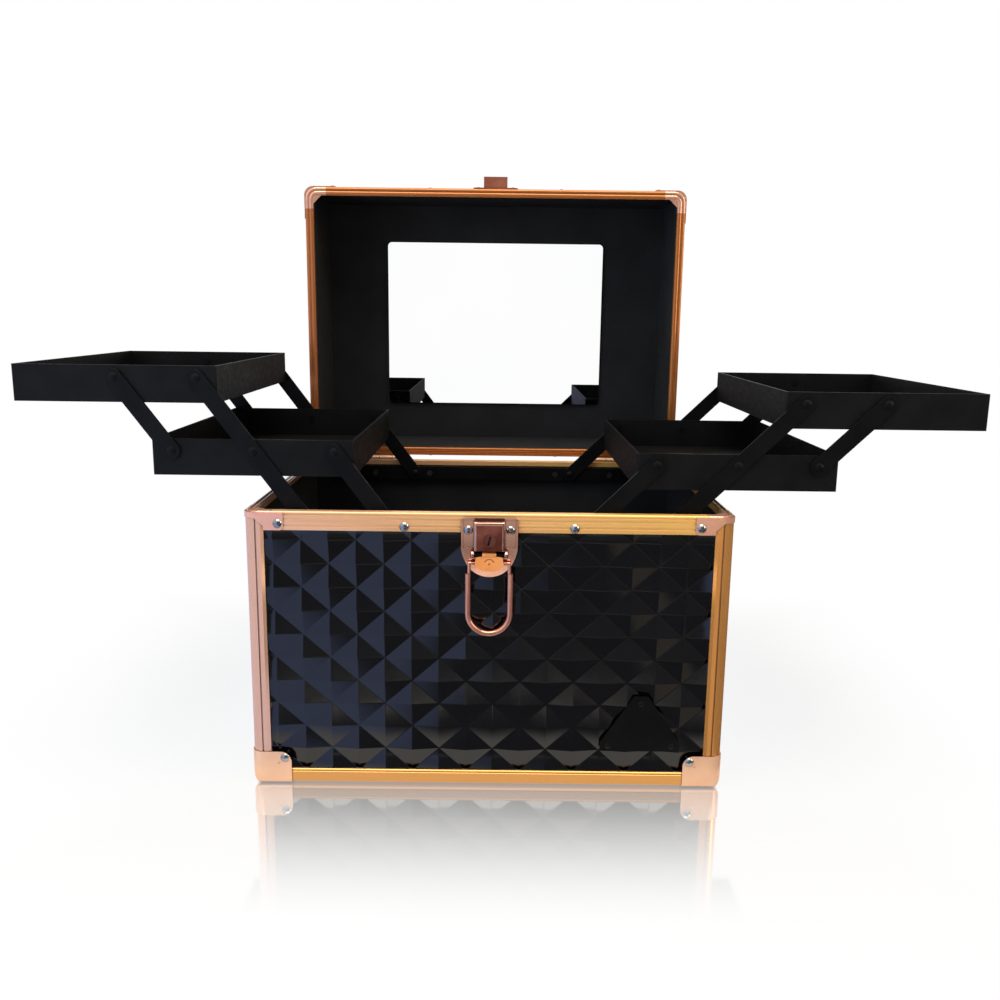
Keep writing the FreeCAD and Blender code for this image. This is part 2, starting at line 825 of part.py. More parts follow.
def latch_bail():
    """Wire loop whose thinner legs turn in to the lever."""
    x = bail_half_width
    step_z = bail_z - bail_leg_length
    bend_z = bail_z - bail_length + x
    path = Part.Wire([
        Part.LineSegment(Vector(-x, pin_y, step_z), Vector(-x, pin_y, bend_z)).toShape(),
        Part.Arc(Vector(-x, pin_y, bend_z), Vector(0, pin_y, bend_z - x), Vector(x, pin_y, bend_z)).toShape(),
        Part.LineSegment(Vector(x, pin_y, bend_z), Vector(x, pin_y, step_z)).toShape(),
    ])
    section = Part.Wire([Part.makeCircle(bail_wire_radius, Vector(-x, pin_y, step_z), Vector(0, 0, 1))])
    loop = path.makePipeShell([section], True, False)
    ends = []
    for s in (-1, 1):
        turn = Vector(s * bail_leg_half_width, pin_y, bail_z)
        length = bail_leg_half_width - lever_half_width + bail_pin_bite
        ends.append(Part.makeSphere(bail_pin_radius, turn))
        ends.append(rod(turn, Vector(-s, 0, 0), bail_pin_radius, length))
        ends.append(rod(turn, Vector(0, 0, -1), bail_pin_radius, bail_leg_length + bail_leg_bite))
    return loop.multiFuse(ends).removeSplitter()


# Catch on the front of the closed lid

def lid_catch():
    half = catch_plate_width / 2
    z0 = rim_z + rim_gap
    back = front_y - face_gap
    face = back - catch_plate_thickness
    plate = block(-half, half, face, back, z0 + catch_plate_low, z0 + catch_plate_high)
    upright = [edge for edge in plate.Edges if near(edge.Vertexes[0].Z, edge.Vertexes[1].Z)
               and near(edge.Vertexes[0].X, edge.Vertexes[1].X)]
    plate = plate.makeFillet(catch_plate_round, upright)
    w = catch_width / 2
    lip_y = face - catch_neck_depth
    neck = block(-w, w, lip_y, face, z0 + catch_low, z0 + catch_neck_high)
    lip = block(-w, w, lip_y - catch_lip_depth, lip_y, z0 + catch_low, z0 + catch_lip_high)
    drills = [rivet_drill(s * catch_rivet_x, face, z0 + catch_rivet_height, back + seat_gap) for s in (-1, 1)]
    return cut_all(plate.multiFuse([neck, lip]).removeSplitter(), drills)


# Hinges at the rear of the closed case

def hinge_leaf(x, upward):
    """Leaf and knuckles of one hinge: the base leaf has the outer knuckles, the lid leaf the middle one."""
    third = hinge_width / 3
    middle = [(-third / 2, third / 2)]
    ends = [(-3 * third / 2, -third / 2), (third / 2, 3 * third / 2)]
    y0 = half_depth + face_gap
    y1 = y0 + hinge_leaf_thickness
    if upward:
        low, high = hinge_z, hinge_z + hinge_leaf_height
        own, other = middle, ends
    else:
        low, high = hinge_z - hinge_leaf_height, hinge_z
        own, other = ends, middle
    leaf = block(x - hinge_width / 2, x + hinge_width / 2, y0, y1, low, high)
    axis = Vector(1, 0, 0)
    for a, b in other:
        start = Vector(x + a - body_gap / 2, hinge_y, hinge_z)
        leaf = leaf.cut(rod(start, axis, knuckle_radius + body_gap, b - a + body_gap))
    for a, b in own:
        start = Vector(x + a + body_gap / 2, hinge_y, hinge_z)
        leaf = leaf.fuse(rod(start, axis, knuckle_radius, b - a - body_gap))
    leaf = leaf.cut(rod(Vector(x - hinge_width, hinge_y, hinge_z), axis, hinge_pin_radius + pivot_clearance,
                        2 * hinge_width))
    rivet_z = hinge_z + (hinge_rivet_drop if upward else -hinge_rivet_drop)
    drills = [rod(Vector(x + s * hinge_rivet_x, y0, rivet_z), Vector(0, 1, 0),
                  rivet_shank_radius + pivot_clearance, hinge_leaf_thickness) for s in (-1, 1)]
    return cut_all(leaf, drills).removeSplitter()


# Trays, arms and pivots

def arm(length_in_pitches, pivot_x, pivot_z, lean, rear):
    """A flat arm that stands on a pivot and leans sideways by an angle from the vertical."""
    w = arm_width / 2
    top = length_in_pitches * arm_pitch
    start = (-w, 0)
    steps = [((0, -w), (w, 0)), (w, top), ((0, top + w), (-w, top))]
    face = face_from(start, steps, lambda p: Vector(p[0], 0, p[1]))
    bar = face.extrude(Vector(0, arm_thickness, 0))
    hole_radius = pivot_shank_radius + pivot_clearance
    holes = [rod(Vector(0, 0, n * arm_pitch), Vector(0, 1, 0), hole_radius, arm_thickness)
             for n in range(length_in_pitches + 1)]
    bar = turned(cut_all(bar, holes), lean, Vector(0, 1, 0))
    y = half_depth - arm_inset - arm_thickness if rear else arm_inset - half_depth
    return moved(bar, pivot_x, y, pivot_z)


def arm_pair(length_in_pitches, pivot_x, pivot_z, lean):
    return [arm(length_in_pitches, pivot_x, pivot_z, lean, rear) for rear in (False, True)]


def both_ends(shape):
    """A piece at the front and its mirror image at the rear."""
    return [shape, shape.mirror(Vector(0, 0, 0), Vector(0, 1, 0))]


def tray(x0, x1, pivot_z, pivot_xs):
    y = half_depth - tray_inset
    top = pivot_z + tray_pivot_drop
    low = top - tray_height
    w = tray_wall
    outer = block(x0, x1, -y, y, low, top)
    outer = outer.makeFillet(tray_corner, [e for e in outer.Edges if near(e.Length, tray_height)])
    body = outer.cut(block(x0 + w, x1 - w, w - y, y - w, low + w, top))
    drills = [rod(Vector(x, -y, pivot_z), Vector(0, 1, 0), pivot_shank_radius + pivot_clearance, 2 * y)
              for x in pivot_xs]
    return cut_all(body, drills)


def tray_rivets(pivot_z, pivot_xs):
    """Rivets through arm and tray wall, headed outside the arm and upset inside the tray."""
    pieces = []
    head_y = arm_inset - pivot_head_gap - half_depth
    tail_y = tray_inset + tray_wall - half_depth
    for x in pivot_xs:
        head = dome(x, head_y, pivot_z, pivot_head_radius, pivot_head_height)
        y0 = head_y - pivot_head_height / 2
        shank = rod(Vector(x, y0, pivot_z), Vector(0, 1, 0), pivot_shank_radius,
                    tail_y - y0 + pivot_tail_height / 2)
        tail = rod(Vector(x, tail_y, pivot_z), Vector(0, 1, 0), pivot_tail_radius, pivot_tail_height)
        pieces += both_ends(head.multiFuse([shank, tail]).removeSplitter())
    return pieces


def base_pivot_rivets():
    """Rivets that stand out of the tray strips and carry the lower ends of the arms."""
    pieces = []
    back_y = lining_inset - half_depth
    head_y = arm_inset + arm_thickness + pivot_head_gap - half_depth
    for s in (-1, 1):
        for x in (s * base_pivot_x, s * (base_pivot_x - pivot_spacing)):
            shank = rod(Vector(x, back_y, base_pivot_z), Vector(0, 1, 0), pivot_shank_radius,
                        head_y - back_y + pivot_head_height / 2)
            head = turned(dome(0, 0, 0, pivot_head_radius, pivot_head_height), 180)
            pieces += both_ends(shank.fuse(moved(head, x, head_y, base_pivot_z)).removeSplitter())
    return pieces


def strip_screw(x):
    y = strip_inset - half_depth
    head = rod(Vector(x, y - strip_screw_sink, base_pivot_z), Vector(0, 1, 0), strip_screw_head,
               strip_screw_sink)
    shank = rod(Vector(x, y - strip_screw_length, base_pivot_z), Vector(0, 1, 0), strip_screw_radius,
                strip_screw_length - strip_screw_sink / 2)
    return head.fuse(shank).removeSplitter()


def strip_screw_drills(x):
    y = strip_inset - half_depth
    c = pivot_clearance
    return [
        rod(Vector(x, y - strip_screw_sink - c, base_pivot_z), Vector(0, 1, 0), strip_screw_head + c,
            strip_screw_sink + 2 * c),
        rod(Vector(x, y - strip_screw_length - c, base_pivot_z), Vector(0, 1, 0), strip_screw_radius + c,
            strip_screw_length),
    ]


def tray_strip():
    y0 = lining_inset - half_depth
    strip = block(-strip_half_length, strip_half_length, y0, y0 + strip_thickness,
                  strip_top - strip_height, strip_top)
    pivots = [s * x for s in (-1, 1) for x in (base_pivot_x, base_pivot_x - pivot_spacing)]
    hole_radius = pivot_shank_radius + pivot_clearance
    drills = [rod(Vector(x, y0, base_pivot_z), Vector(0, 1, 0), hole_radius, strip_thickness)
              for x in pivots]
    return cut_all(strip, drills)


# Carry handle on the top of the closed lid, folded towards the hinges

handle_z = lid_top - end_peak + handle_pivot_height
bracket_z = lid_top - end_peak + face_gap


def handle_bracket(x):
    plate = block(x - bracket_length / 2, x + bracket_length / 2, -bracket_width / 2, bracket_width / 2,
                  bracket_z, bracket_z + bracket_thickness)
    pieces = []
    for s in (-1, 1):
        inner = x + s * bracket_ear_gap / 2
        x0 = min(inner, inner + s * bracket_ear_thickness)
        pieces.append(rod(Vector(x0, 0, handle_z), Vector(1, 0, 0), bracket_ear_radius,
                          bracket_ear_thickness))
        pieces.append(block(x0, x0 + bracket_ear_thickness, -bracket_ear_radius, bracket_ear_radius,
                            bracket_z, handle_z))
    bracket = plate.multiFuse(pieces)
    pin_hole = rod(Vector(x - bracket_length, 0, handle_z), Vector(1, 0, 0),
                   handle_pin_radius + pivot_clearance, 2 * bracket_length)
    drills = [rod(Vector(x + s * bracket_rivet_x, 0, bracket_z), Vector(0, 0, 1),
                  rivet_shank_radius + pivot_clearance, bracket_thickness) for s in (-1, 1)]
    return cut_all(bracket, [pin_hole] + drills).removeSplitter()


def handle_pin(x):
    length = bracket_ear_gap + 2 * bracket_ear_thickness
    return rod(Vector(x - length / 2, 0, handle_z), Vector(1, 0, 0), handle_pin_radius, length)


def handle_loop():
    x, r, y = handle_half_span, handle_bend_radius, handle_reach
    k = r * (1 - math.sqrt(0.5))
    point = lambda a, b: Vector(a, b, handle_z)
    path = Part.Wire([
        Part.LineSegment(point(-x, 0), point(-x, y - r)).toShape(),
        Part.Arc(point(-x, y - r), point(k - x, y - k), point(r - x, y)).toShape(),
        Part.LineSegment(point(r - x, y), point(x - r, y)).toShape(),
        Part.Arc(point(x - r, y), point(x - k, y - k), point(x, y - r)).toShape(),
        Part.LineSegment(point(x, y - r), point(x, 0)).toShape(),
    ])
    section = Part.Wire([Part.makeCircle(handle_wire_radius, point(-x, 0), Vector(0, 1, 0))])
    loop = path.makePipeShell([section], True, False)
    boss_length = bracket_ear_gap - 2 * handle_boss_gap
    bosses = [rod(point(s * x - boss_length / 2, 0), Vector(1, 0, 0), handle_boss_radius, boss_length)
              for s in (-1, 1)]
    hole_radius = handle_pin_radius + pivot_clearance
    holes = [rod(point(s * x - boss_length, 0), Vector(1, 0, 0), hole_radius, 2 * boss_length)
             for s in (-1, 1)]
    return cut_all(loop.multiFuse(bosses), holes)


def handle_sleeve():
    start = Vector(-sleeve_half_length, handle_reach, handle_z)
    outer = rod(start, Vector(1, 0, 0), sleeve_radius, 2 * sleeve_half_length)
    outer = outer.makeFillet(sleeve_round, [e for e in outer.Edges if e.Closed])
    hole_radius = handle_wire_radius + pivot_clearance
    return outer.cut(rod(start, Vector(1, 0, 0), hole_radius, 2 * sleeve_half_length))


# Bare badge plate on the front panel

badge_y = front_y + peak_inset - pivot_clearance
badge_screw_spots = [
    (badge_x, badge_bottom + badge_height - badge_screw_inset),
    (badge_x - badge_half_width + badge_screw_inset, badge_bottom + badge_screw_rise),
    (badge_x + badge_half_width - badge_screw_inset, badge_bottom + badge_screw_rise),
]


def badge_plate():
    top = badge_bottom + badge_height
    outline = [
        (badge_x - badge_half_width, badge_bottom),
        (badge_x + badge_half_width, badge_bottom),
        (badge_x + badge_half_width, badge_bottom + badge_side_rise),
        (badge_x + badge_tip_half_width, top),
        (badge_x - badge_tip_half_width, top),
        (badge_x - badge_half_width, badge_bottom + badge_side_rise),
    ]
    face = face_from(outline[0], outline[1:], lambda p: Vector(p[0], badge_y - badge_thickness, p[1]))
    drills = [badge_drill(x, z) for x, z in badge_screw_spots]
    return cut_all(face.extrude(Vector(0, badge_thickness, 0)), drills)


def badge_drill(x, z):
    return rod(Vector(x, badge_y - badge_thickness, z), Vector(0, 1, 0), badge_screw_radius + pivot_clearance,
               badge_thickness + badge_screw_length + seat_gap)


def badge_screw(x, z):
    y = badge_y - badge_thickness
    head = dome(x, y, z, badge_screw_head, badge_screw_height)
    shank = rod(Vector(x, y - badge_screw_height / 2, z), Vector(0, 1, 0), badge_screw_radius,
                badge_thickness + badge_screw_length + badge_screw_height / 2)
    return head.fuse(shank).removeSplitter()


# Mirror on the lining of the lid's closed end, in the half's own place

def mirror_plate(end_back):
    low = end_back + lining_thickness - lid_height
    x, y = mirror_width / 2, mirror_height / 2
    plate = block(-x, x, -y, y, low, low + mirror_thickness)
    return plate.makeFillet(mirror_round, [e for e in plate.Edges if near(e.Length, mirror_thickness)])


# Assembly

nodes = {}


def closed_lid(shape):
    """Turns a half over, so that its rim lies on the rim of the base."""
    return moved(turned(shape, 180, Vector(0, 1, 0)), z=base_height + rim_gap)


def opened(shape):
    return turned(shape, -lid_open_angle, Vector(1, 0, 0), Vector(0, hinge_y, hinge_z))


def joined(pieces):
    return pieces[0] if len(pieces) == 1 else Part.makeCompound(pieces)


hinge_seat = -face_gap - hinge_leaf_thickness
hinge_spots = [(s * hinge_x + t * hinge_rivet_x, hinge_seat, rim_gap / 2 - hinge_rivet_drop)
               for s in (-1, 1) for t in (-1, 1)]
latch_seat = latch_well_depth - latch_plate_thickness - face_gap
latch_spots = [(s * latch_rivet_x, latch_seat, -latch_rivet_drop) for s in (-1, 1)]
catch_spots = [(s * catch_rivet_x, -face_gap - catch_plate_thickness, -catch_rivet_height) for s in (-1, 1)]

# Base panels, frame and lining
floor_back = end_peak + floor_thickness
base = build_half(base_height, floor_back, False, {"front": latch_spots, "rear": hinge_spots})
raised = {name: moved(joined(piece) if isinstance(piece, list) else piece, z=base_height)
          for name, piece in base.items()}
screw_xs = [s * x for s in (-1, 1) for x in (inner_screw_x, outer_screw_x)]
screw_drills = [tool for x in screw_xs for tool in strip_screw_drills(x)]
rear_drills = [tool.mirror(Vector(0, 0, 0), Vector(0, 1, 0)) for tool in screw_drills]
badge_drills = [badge_drill(x, z) for x, z in badge_screw_spots]
nodes["base_front_panel"] = cut_all(raised["front"], screw_drills + badge_drills)
nodes["base_rear_panel"] = cut_all(raised["rear"], rear_drills)
nodes["base_left_panel"] = raised["left"]
nodes["base_right_panel"] = raised["right"]
nodes["base_floor_panel"] = raised["end"]
nodes["base_corner_posts"] = raised["posts"]
nodes["base_rim_rails"] = raised["rim_rails"]
nodes["base_bottom_rails"] = raised["end_rails"]
nodes["base_rim_corners"] = raised["rim_corners"]
nodes["base_foot_caps"] = raised["end_caps"]
nodes["base_frame_rivets"] = raised["rivets"]
nodes["base_lining"] = cut_all(raised["lining"], screw_drills + rear_drills)

# Tray strips on the inner walls
nodes["tray_strips"] = joined(both_ends(cut_all(tray_strip(), screw_drills)))
nodes["tray_strip_screws"] = joined([piece for x in screw_xs for piece in both_ends(strip_screw(x))])
nodes["base_pivot_rivets"] = joined(base_pivot_rivets())

# Latch
plate_drills = [rivet_drill(x, seat - half_depth, rim_z + z, front_y) for x, seat, z in latch_spots]
nodes["latch_plate"] = cut_all(latch_plate(), plate_drills)
nodes["lock_body"] = lock_body()
nodes["lock_plug"] = lock_plug()
nodes["latch_pin"] = rod(Vector(-lever_pin_half_length, pin_y, pin_z), Vector(1, 0, 0), lever_pin_radius,
                         2 * lever_pin_half_length)
nodes["latch_lever"] = latch_lever()
nodes["latch_bail"] = latch_bail()

# Badge
nodes["badge_plate"] = badge_plate()
nodes["badge_screws"] = joined([badge_screw(x, z) for x, z in badge_screw_spots])

# Hinges
nodes["hinge_base_leaves"] = joined([hinge_leaf(s * hinge_x, False) for s in (-1, 1)])
nodes["hinge_pins"] = joined([rod(Vector(s * hinge_x - hinge_width / 2, hinge_y, hinge_z), Vector(1, 0, 0),
                                  hinge_pin_radius, hinge_width) for s in (-1, 1)])
nodes["hinge_lid_leaves"] = joined([opened(hinge_leaf(s * hinge_x, True)) for s in (-1, 1)])

# Lid panels, frame, lining and mirror; turning the half over swaps its left and right
top_back = end_peak + facet_relief + top_board_thickness
lid_hinge_spots = [(x, seat, rim_gap / 2 - hinge_rivet_drop) for x, seat, z in hinge_spots]
lid = build_half(lid_height, top_back, True, {"front": catch_spots, "rear": lid_hinge_spots})
lid_places = {name: closed_lid(joined(piece) if isinstance(piece, list) else piece)
              for name, piece in lid.items()}
bracket_seat = bracket_z + bracket_thickness
bracket_rivet_depth = bracket_seat - lid_top + top_back - rivet_end_margin
bracket_spots = [s * handle_half_span + t * bracket_rivet_x for s in (-1, 1) for t in (-1, 1)]


def on_lid_top(piece, x):
    """Lays a piece made on a front face over the top of the closed lid."""
    return moved(turned(piece, -90, Vector(1, 0, 0)), x, 0, bracket_seat)


bracket_rivets = [on_lid_top(frame_rivet(0, 0, 0, bracket_rivet_depth), x) for x in bracket_spots]
bracket_drills = [on_lid_top(rivet_drill(0, 0, 0, bracket_rivet_depth), x) for x in bracket_spots]
nodes["lid_front_panel"] = opened(lid_places["front"])
nodes["lid_rear_panel"] = opened(lid_places["rear"])
nodes["lid_left_panel"] = opened(lid_places["right"])
nodes["lid_right_panel"] = opened(lid_places["left"])
nodes["lid_top_panel"] = opened(cut_all(lid_places["end"], bracket_drills))
nodes["lid_corner_posts"] = opened(lid_places["posts"])
nodes["lid_rim_rails"] = opened(lid_places["rim_rails"])
nodes["lid_top_rails"] = opened(lid_places["end_rails"])
nodes["lid_rim_corners"] = opened(lid_places["rim_corners"])
nodes["lid_top_caps"] = opened(lid_places["end_caps"])
nodes["lid_frame_rivets"] = opened(joined(lid_places["rivets"].Solids + bracket_rivets))
nodes["lid_lining"] = opened(lid_places["lining"])
nodes["lid_mirror"] = opened(closed_lid(mirror_plate(top_back)))
nodes["lid_catch"] = opened(lid_catch())

# Carry handle
nodes["handle_brackets"] = joined([opened(handle_bracket(s * handle_half_span)) for s in (-1, 1)])
nodes["handle_pins"] = joined([opened(handle_pin(s * handle_half_span)) for s in (-1, 1)])
nodes["handle_loop"] = opened(handle_loop())
nodes["handle_sleeve"] = opened(handle_sleeve())

# Folding trays: on each side, both trays hang level on three pairs of parallel arms
for name, side, angle in (("left", -1, left_lean_angle), ("right", 1, right_lean_angle)):
    step_x = side * arm_pitch * math.sin(math.radians(angle))
    step_z = arm_pitch * math.cos(math.radians(angle))
    lean = side * angle
    outer_x = side * base_pivot_x
    inner_x = side * (base_pivot_x - pivot_spacing)
    lower_z = base_pivot_z + step_z
    upper_z = base_pivot_z + 2 * step_z
    lower_x = outer_x + step_x
    upper_x = outer_x + 2 * step_x
    lower_pivots = [lower_x + side * shift for shift in (-pivot_spacing, 0, pivot_spacing)]
    upper_pivots = [upper_x, upper_x + side * pivot_spacing]
    upper_edges = (upper_x - side * upper_pivot_inset, upper_x + side * (tray_width - upper_pivot_inset))
    nodes[name + "_main_arms"] = joined(arm_pair(main_arm_pitches, outer_x, base_pivot_z, lean))
    nodes[name + "_inner_arms"] = joined(arm_pair(short_arm_pitches, inner_x, base_pivot_z, lean))
    nodes[name + "_outer_arms"] = joined(arm_pair(short_arm_pitches, lower_pivots[2], lower_z, lean))
    lower_edges = (lower_x - tray_width / 2, lower_x + tray_width / 2)
    nodes[name + "_lower_tray"] = tray(min(lower_edges), max(lower_edges), lower_z, lower_pivots)
    nodes[name + "_upper_tray"] = tray(min(upper_edges), max(upper_edges), upper_z, upper_pivots)
    nodes[name + "_lower_rivets"] = joined(tray_rivets(lower_z, lower_pivots))
    nodes[name + "_upper_rivets"] = joined(tray_rivets(upper_z, upper_pivots))

for name, shape in nodes.items():
    shape.exportStep(os.path.join("parts", name + ".step"))
print(len(nodes), "nodes")
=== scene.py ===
import math

import bmesh
import bpy
from mathutils import Matrix, Vector


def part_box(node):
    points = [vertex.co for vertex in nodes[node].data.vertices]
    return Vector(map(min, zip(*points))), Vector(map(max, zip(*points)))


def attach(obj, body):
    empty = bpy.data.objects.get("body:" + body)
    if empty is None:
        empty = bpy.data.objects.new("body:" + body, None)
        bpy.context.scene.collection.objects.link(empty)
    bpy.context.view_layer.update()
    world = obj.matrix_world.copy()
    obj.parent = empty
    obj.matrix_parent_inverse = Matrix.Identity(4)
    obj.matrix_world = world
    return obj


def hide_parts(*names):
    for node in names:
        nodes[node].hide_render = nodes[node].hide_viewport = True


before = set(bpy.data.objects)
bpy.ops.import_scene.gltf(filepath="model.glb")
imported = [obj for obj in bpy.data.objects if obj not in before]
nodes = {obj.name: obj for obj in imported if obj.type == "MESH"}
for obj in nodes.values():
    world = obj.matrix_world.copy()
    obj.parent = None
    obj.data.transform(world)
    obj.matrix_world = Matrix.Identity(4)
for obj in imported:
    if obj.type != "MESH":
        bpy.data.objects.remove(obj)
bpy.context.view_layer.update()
scene = bpy.context.scene
scene.view_settings.view_transform = "Standard"

# Sizes shared with the solids, in metres
HALF_WIDTH = 0.170
HALF_DEPTH = 0.120
BASE_HEIGHT = 0.203
HINGE_Y = 0.123
FACET_HALF_WIDTH = 0.0193
FACET_HALF_HEIGHT = 0.01725
FACET_RELIEF = 0.0028
PEAK_DROP = 0.0553
FRONT_PEAK_X = 0.0034
FRONT_PEAK_Z = BASE_HEIGHT - PEAK_DROP
FACET_EDGE = 0.00045
LAND_START = 0.0002
LAND_END = 0.0005
POST_LEG = 0.0136
END_RAIL_REACH = 0.0130
SIDE_RAIL_REACH = 0.018
LOCK_FACE_Y = -0.12922
LOCK_PANE_X = 0.0088
LOCK_PANE_EDGE = 0.0001
LOCK_PANE_SINK = 0.0004, 0.0005
LOCK_PANE_BACK = 0.0012, 0.0010

# Brushed grain, as noise scales across and along the strokes
GRAIN_ACROSS = 5200.0
GRAIN_ALONG = 40.0
GRAIN_X = GRAIN_ALONG, GRAIN_ACROSS, GRAIN_ACROSS
GRAIN_Y = GRAIN_ACROSS, GRAIN_ALONG, GRAIN_ACROSS
GRAIN_Z = GRAIN_ACROSS, GRAIN_ACROSS, GRAIN_ALONG
# Reach of the shade painted into grooves and joints, and for plated parts the share of the tone kept there
PAINTED_SHADE_REACH = 0.0025
PLATED_PAINTED_SHADE_REACH = 0.0020
PLATED_PAINTED_SHADE_SHARE = 0.2
SKIN_DEPTH = 0.0002

# The floor: how it looks to the camera, near the case
FLOOR_SIZE = 12.0
FLOOR_DROP = 0.0002
FLOOR_WHITE = 0.75
FLOOR_GLOSS = 0.72
FLOOR_ROUGHNESS = 0.06
WHITE_FADE = 0.02, 0.28
GLOSS_FADE = 0.165, -0.02

# The floor as shiny parts mirror it: zones by the distance from the case or from its middle, and their tones
NEAR_FADE = 0.045, 0.028
NEAR_TONE = 1.0, 0.93, 0.85
DIM_FADE = 0.28, 0.50
DIM_TONES = (0.11, 0.11, 0.12), (0.17, 0.17, 0.18)
RIM_ZONE = (0.69, 0.75), (1.04, 0.97)
RIM_WIDTH = 0.46, 0.42
RIM_GLOW = 0.48, 0.46, 0.43
MIDDLE_WIDTH = 0.10, 0.07
LOCK_ZONE = (0.60, 0.64), (0.80, 0.75)
LOCK_SHADE = 0.30, 0.28, 0.27
LATCH_ZONE = (0.47, 0.52), (0.64, 0.60)
LATCH_GLOW = 1.0, 0.93, 0.84
STRIP_SLOPE = 0.258
STRIP_ZONE = (0.135, 0.148), (0.190, 0.178)
STRIP_TONE = 0.38, 0.33, 0.27
COOL_SLOPE = 0.25
COOL_FADE = -0.03, -0.10
COOL_TONE = 0.47, 0.56, 0.92

# The studio as shiny parts mirror it: fades over the direction's parts, and tones
FRONT_TONE = 0.12, 0.12, 0.13
RIGHT_FADE = 0.30, 0.60
RIGHT_TONE = 0.17, 0.16, 0.16
LEFT_FADE = -0.18, -0.36
LEFT_RISE = 0.10, 0.20
LEFT_HIGH_TONE = 0.84, 0.87, 0.92
BACK_FADE = 0.0, 0.3
TOP_FADE = 0.40, 0.75
TOP_TONE = 1.0, 0.88, 0.66
SOFT_STRENGTH = 0.45
WHITE = 1.0, 1.0, 1.0


# Node material helpers

class Nodes:
    """Short ways to add and link the nodes of one tree; a source is a (node, output) pair."""

    def __init__(self, tree):
        self.tree = tree
        tree.nodes.clear()

    def add(self, kind, **settings):
        node = self.tree.nodes.new(kind)
        for key, value in settings.items():
            setattr(node, key, value)
        return node

    def link(self, a, out, b, into):
        self.tree.links.new(a.outputs[out], b.inputs[into])

    def number(self, operation, *terms):
        """A math node; each term is a source or a plain number."""
        node = self.add("ShaderNodeMath", operation=operation)
        for index, term in enumerate(terms):
            if isinstance(term, tuple):
                self.link(*term, node, index)
            else:
                node.inputs[index].default_value = term
        return node, "Value"

    def fade(self, source, start, end):
        """Goes smoothly from 0 to 1 as the source goes from start to end."""
        node = self.add("ShaderNodeMapRange", interpolation_type="SMOOTHSTEP")
        self.link(*source, node, "Value")
        node.inputs["From Min"].default_value = start
        node.inputs["From Max"].default_value = end
        return node, "Result"

    def zone(self, source, rise, fall):
        """Comes in over one pair of values and goes out again over another."""
        return self.number("MULTIPLY", self.fade(source, *rise), self.fade(source, *fall))

    def blend(self, factor, before, after):
        """Mix of two colours, each a source or a plain colour."""
        node = self.add("ShaderNodeMix", data_type="RGBA")
        self.link(*factor, node, 0)
        for index, colour in ((6, before), (7, after)):
            if len(colour) == 2:
                self.link(*colour, node, index)
            else:
                node.inputs[index].default_value = (*colour, 1.0)
        return node, 2

    def choose(self, factor, before, after):
        """Mix of two shaders."""
        node = self.add("ShaderNodeMixShader")
        self.link(*factor, node, 0)
        self.link(before, 0, node, 1)
        self.link(after, 0, node, 2)
        return node


class Maker(Nodes):
    """Builds one node material; values that are the same all over go straight on the shader."""

    def __init__(self, name, **values):
        self.material = bpy.data.materials.new(name)
        self.material.use_nodes = True
        super().__init__(self.material.node_tree)
        self.output = self.add("ShaderNodeOutputMaterial")
        self.shader = self.add("ShaderNodeBsdfPrincipled")
        self.link(self.shader, "BSDF", self.output, "Surface")
        for key, value in values.items():
            self.shader.inputs[key].default_value = value
        self.place = self.add("ShaderNodeTexCoord")

    def stretched(self, scale):
        node = self.add("ShaderNodeMapping")
        node.inputs["Scale"].default_value = scale
        self.link(self.place, "Object", node, "Vector")
        return node

    def noise(self, scale, detail=2.0, rough=0.5, stretch=None):
        node = self.add("ShaderNodeTexNoise")
        node.inputs["Scale"].default_value = scale
        node.inputs["Detail"].default_value = detail
        node.inputs["Roughness"].default_value = rough
        if stretch:
            self.link(self.stretched(stretch), "Vector", node, "Vector")
        else:
            self.link(self.place, "Object", node, "Vector")
        return node

    def ramp(self, source, stops, out="Fac"):
        node = self.add("ShaderNodeValToRGB")
        self.link(source, out, node, "Fac")
        ramp = node.color_ramp
        while len(ramp.elements) < len(stops):
            ramp.elements.new(0.5)
        for element, (position, colour) in zip(ramp.elements, stops):
            element.position = position
            element.color = (*colour, 1.0) if len(colour) == 3 else colour
        return node

    def spread(self, source, low, high, out="Fac"):
        node = self.add("ShaderNodeMapRange")
        self.link(source, out, node, "Value")
        node.inputs["From Min"].default_value = 0.3
        node.inputs["From Max"].default_value = 0.7
        node.inputs["To Min"].default_value = low
        node.inputs["To Max"].default_value = high
        return node

    def colour(self, source, stops, out="Fac"):
        self.link(self.ramp(source, stops, out), "Color", self.shader, "Base Color")

    def paint_hollow_shade(self, tone, painted_shade_tone, distance):
        """Paints shade into a tone: it sinks to a deeper one in grooves and along joints, where ambient
        occlusion finds them.
        """
        shade = self.add("ShaderNodeAmbientOcclusion", samples=6)
        shade.inputs["Distance"].default_value = distance
        mixed = self.blend(self.fade((shade, "AO"), 0.40, 0.92), painted_shade_tone, tone)
        self.link(*mixed, self.shader, "Base Color")

    def roughness(self, source, low, high, out="Fac"):
        self.link(self.spread(source, low, high, out), "Result", self.shader, "Roughness")

    def bump(self, source, strength, distance, out="Fac", after=None):
        node = self.add("ShaderNodeBump")
        node.inputs["Strength"].default_value = strength
        node.inputs["Distance"].default_value = distance
        self.link(source, out, node, "Height")
        if after:
            self.link(after, "Normal", node, "Normal")
        self.link(node, "Normal", self.shader, "Normal")
        return node


def glossy_facets():
    m = Maker("facet_black", **{"Specular IOR Level": 0.65})
    cloud = m.noise(30.0, 3.0)
    m.colour(cloud, [(0.3, (0.0008, 0.0008, 0.0011)), (0.7, (0.0016, 0.0017, 0.0022))])
    m.roughness(m.noise(90.0, 4.0), 0.07, 0.13)
    wave = m.bump(m.noise(45.0, 2.0), 0.10, 0.0010)
    m.bump(m.noise(1400.0, 2.0), 0.04, 0.0001, after=wave)
    return m.material


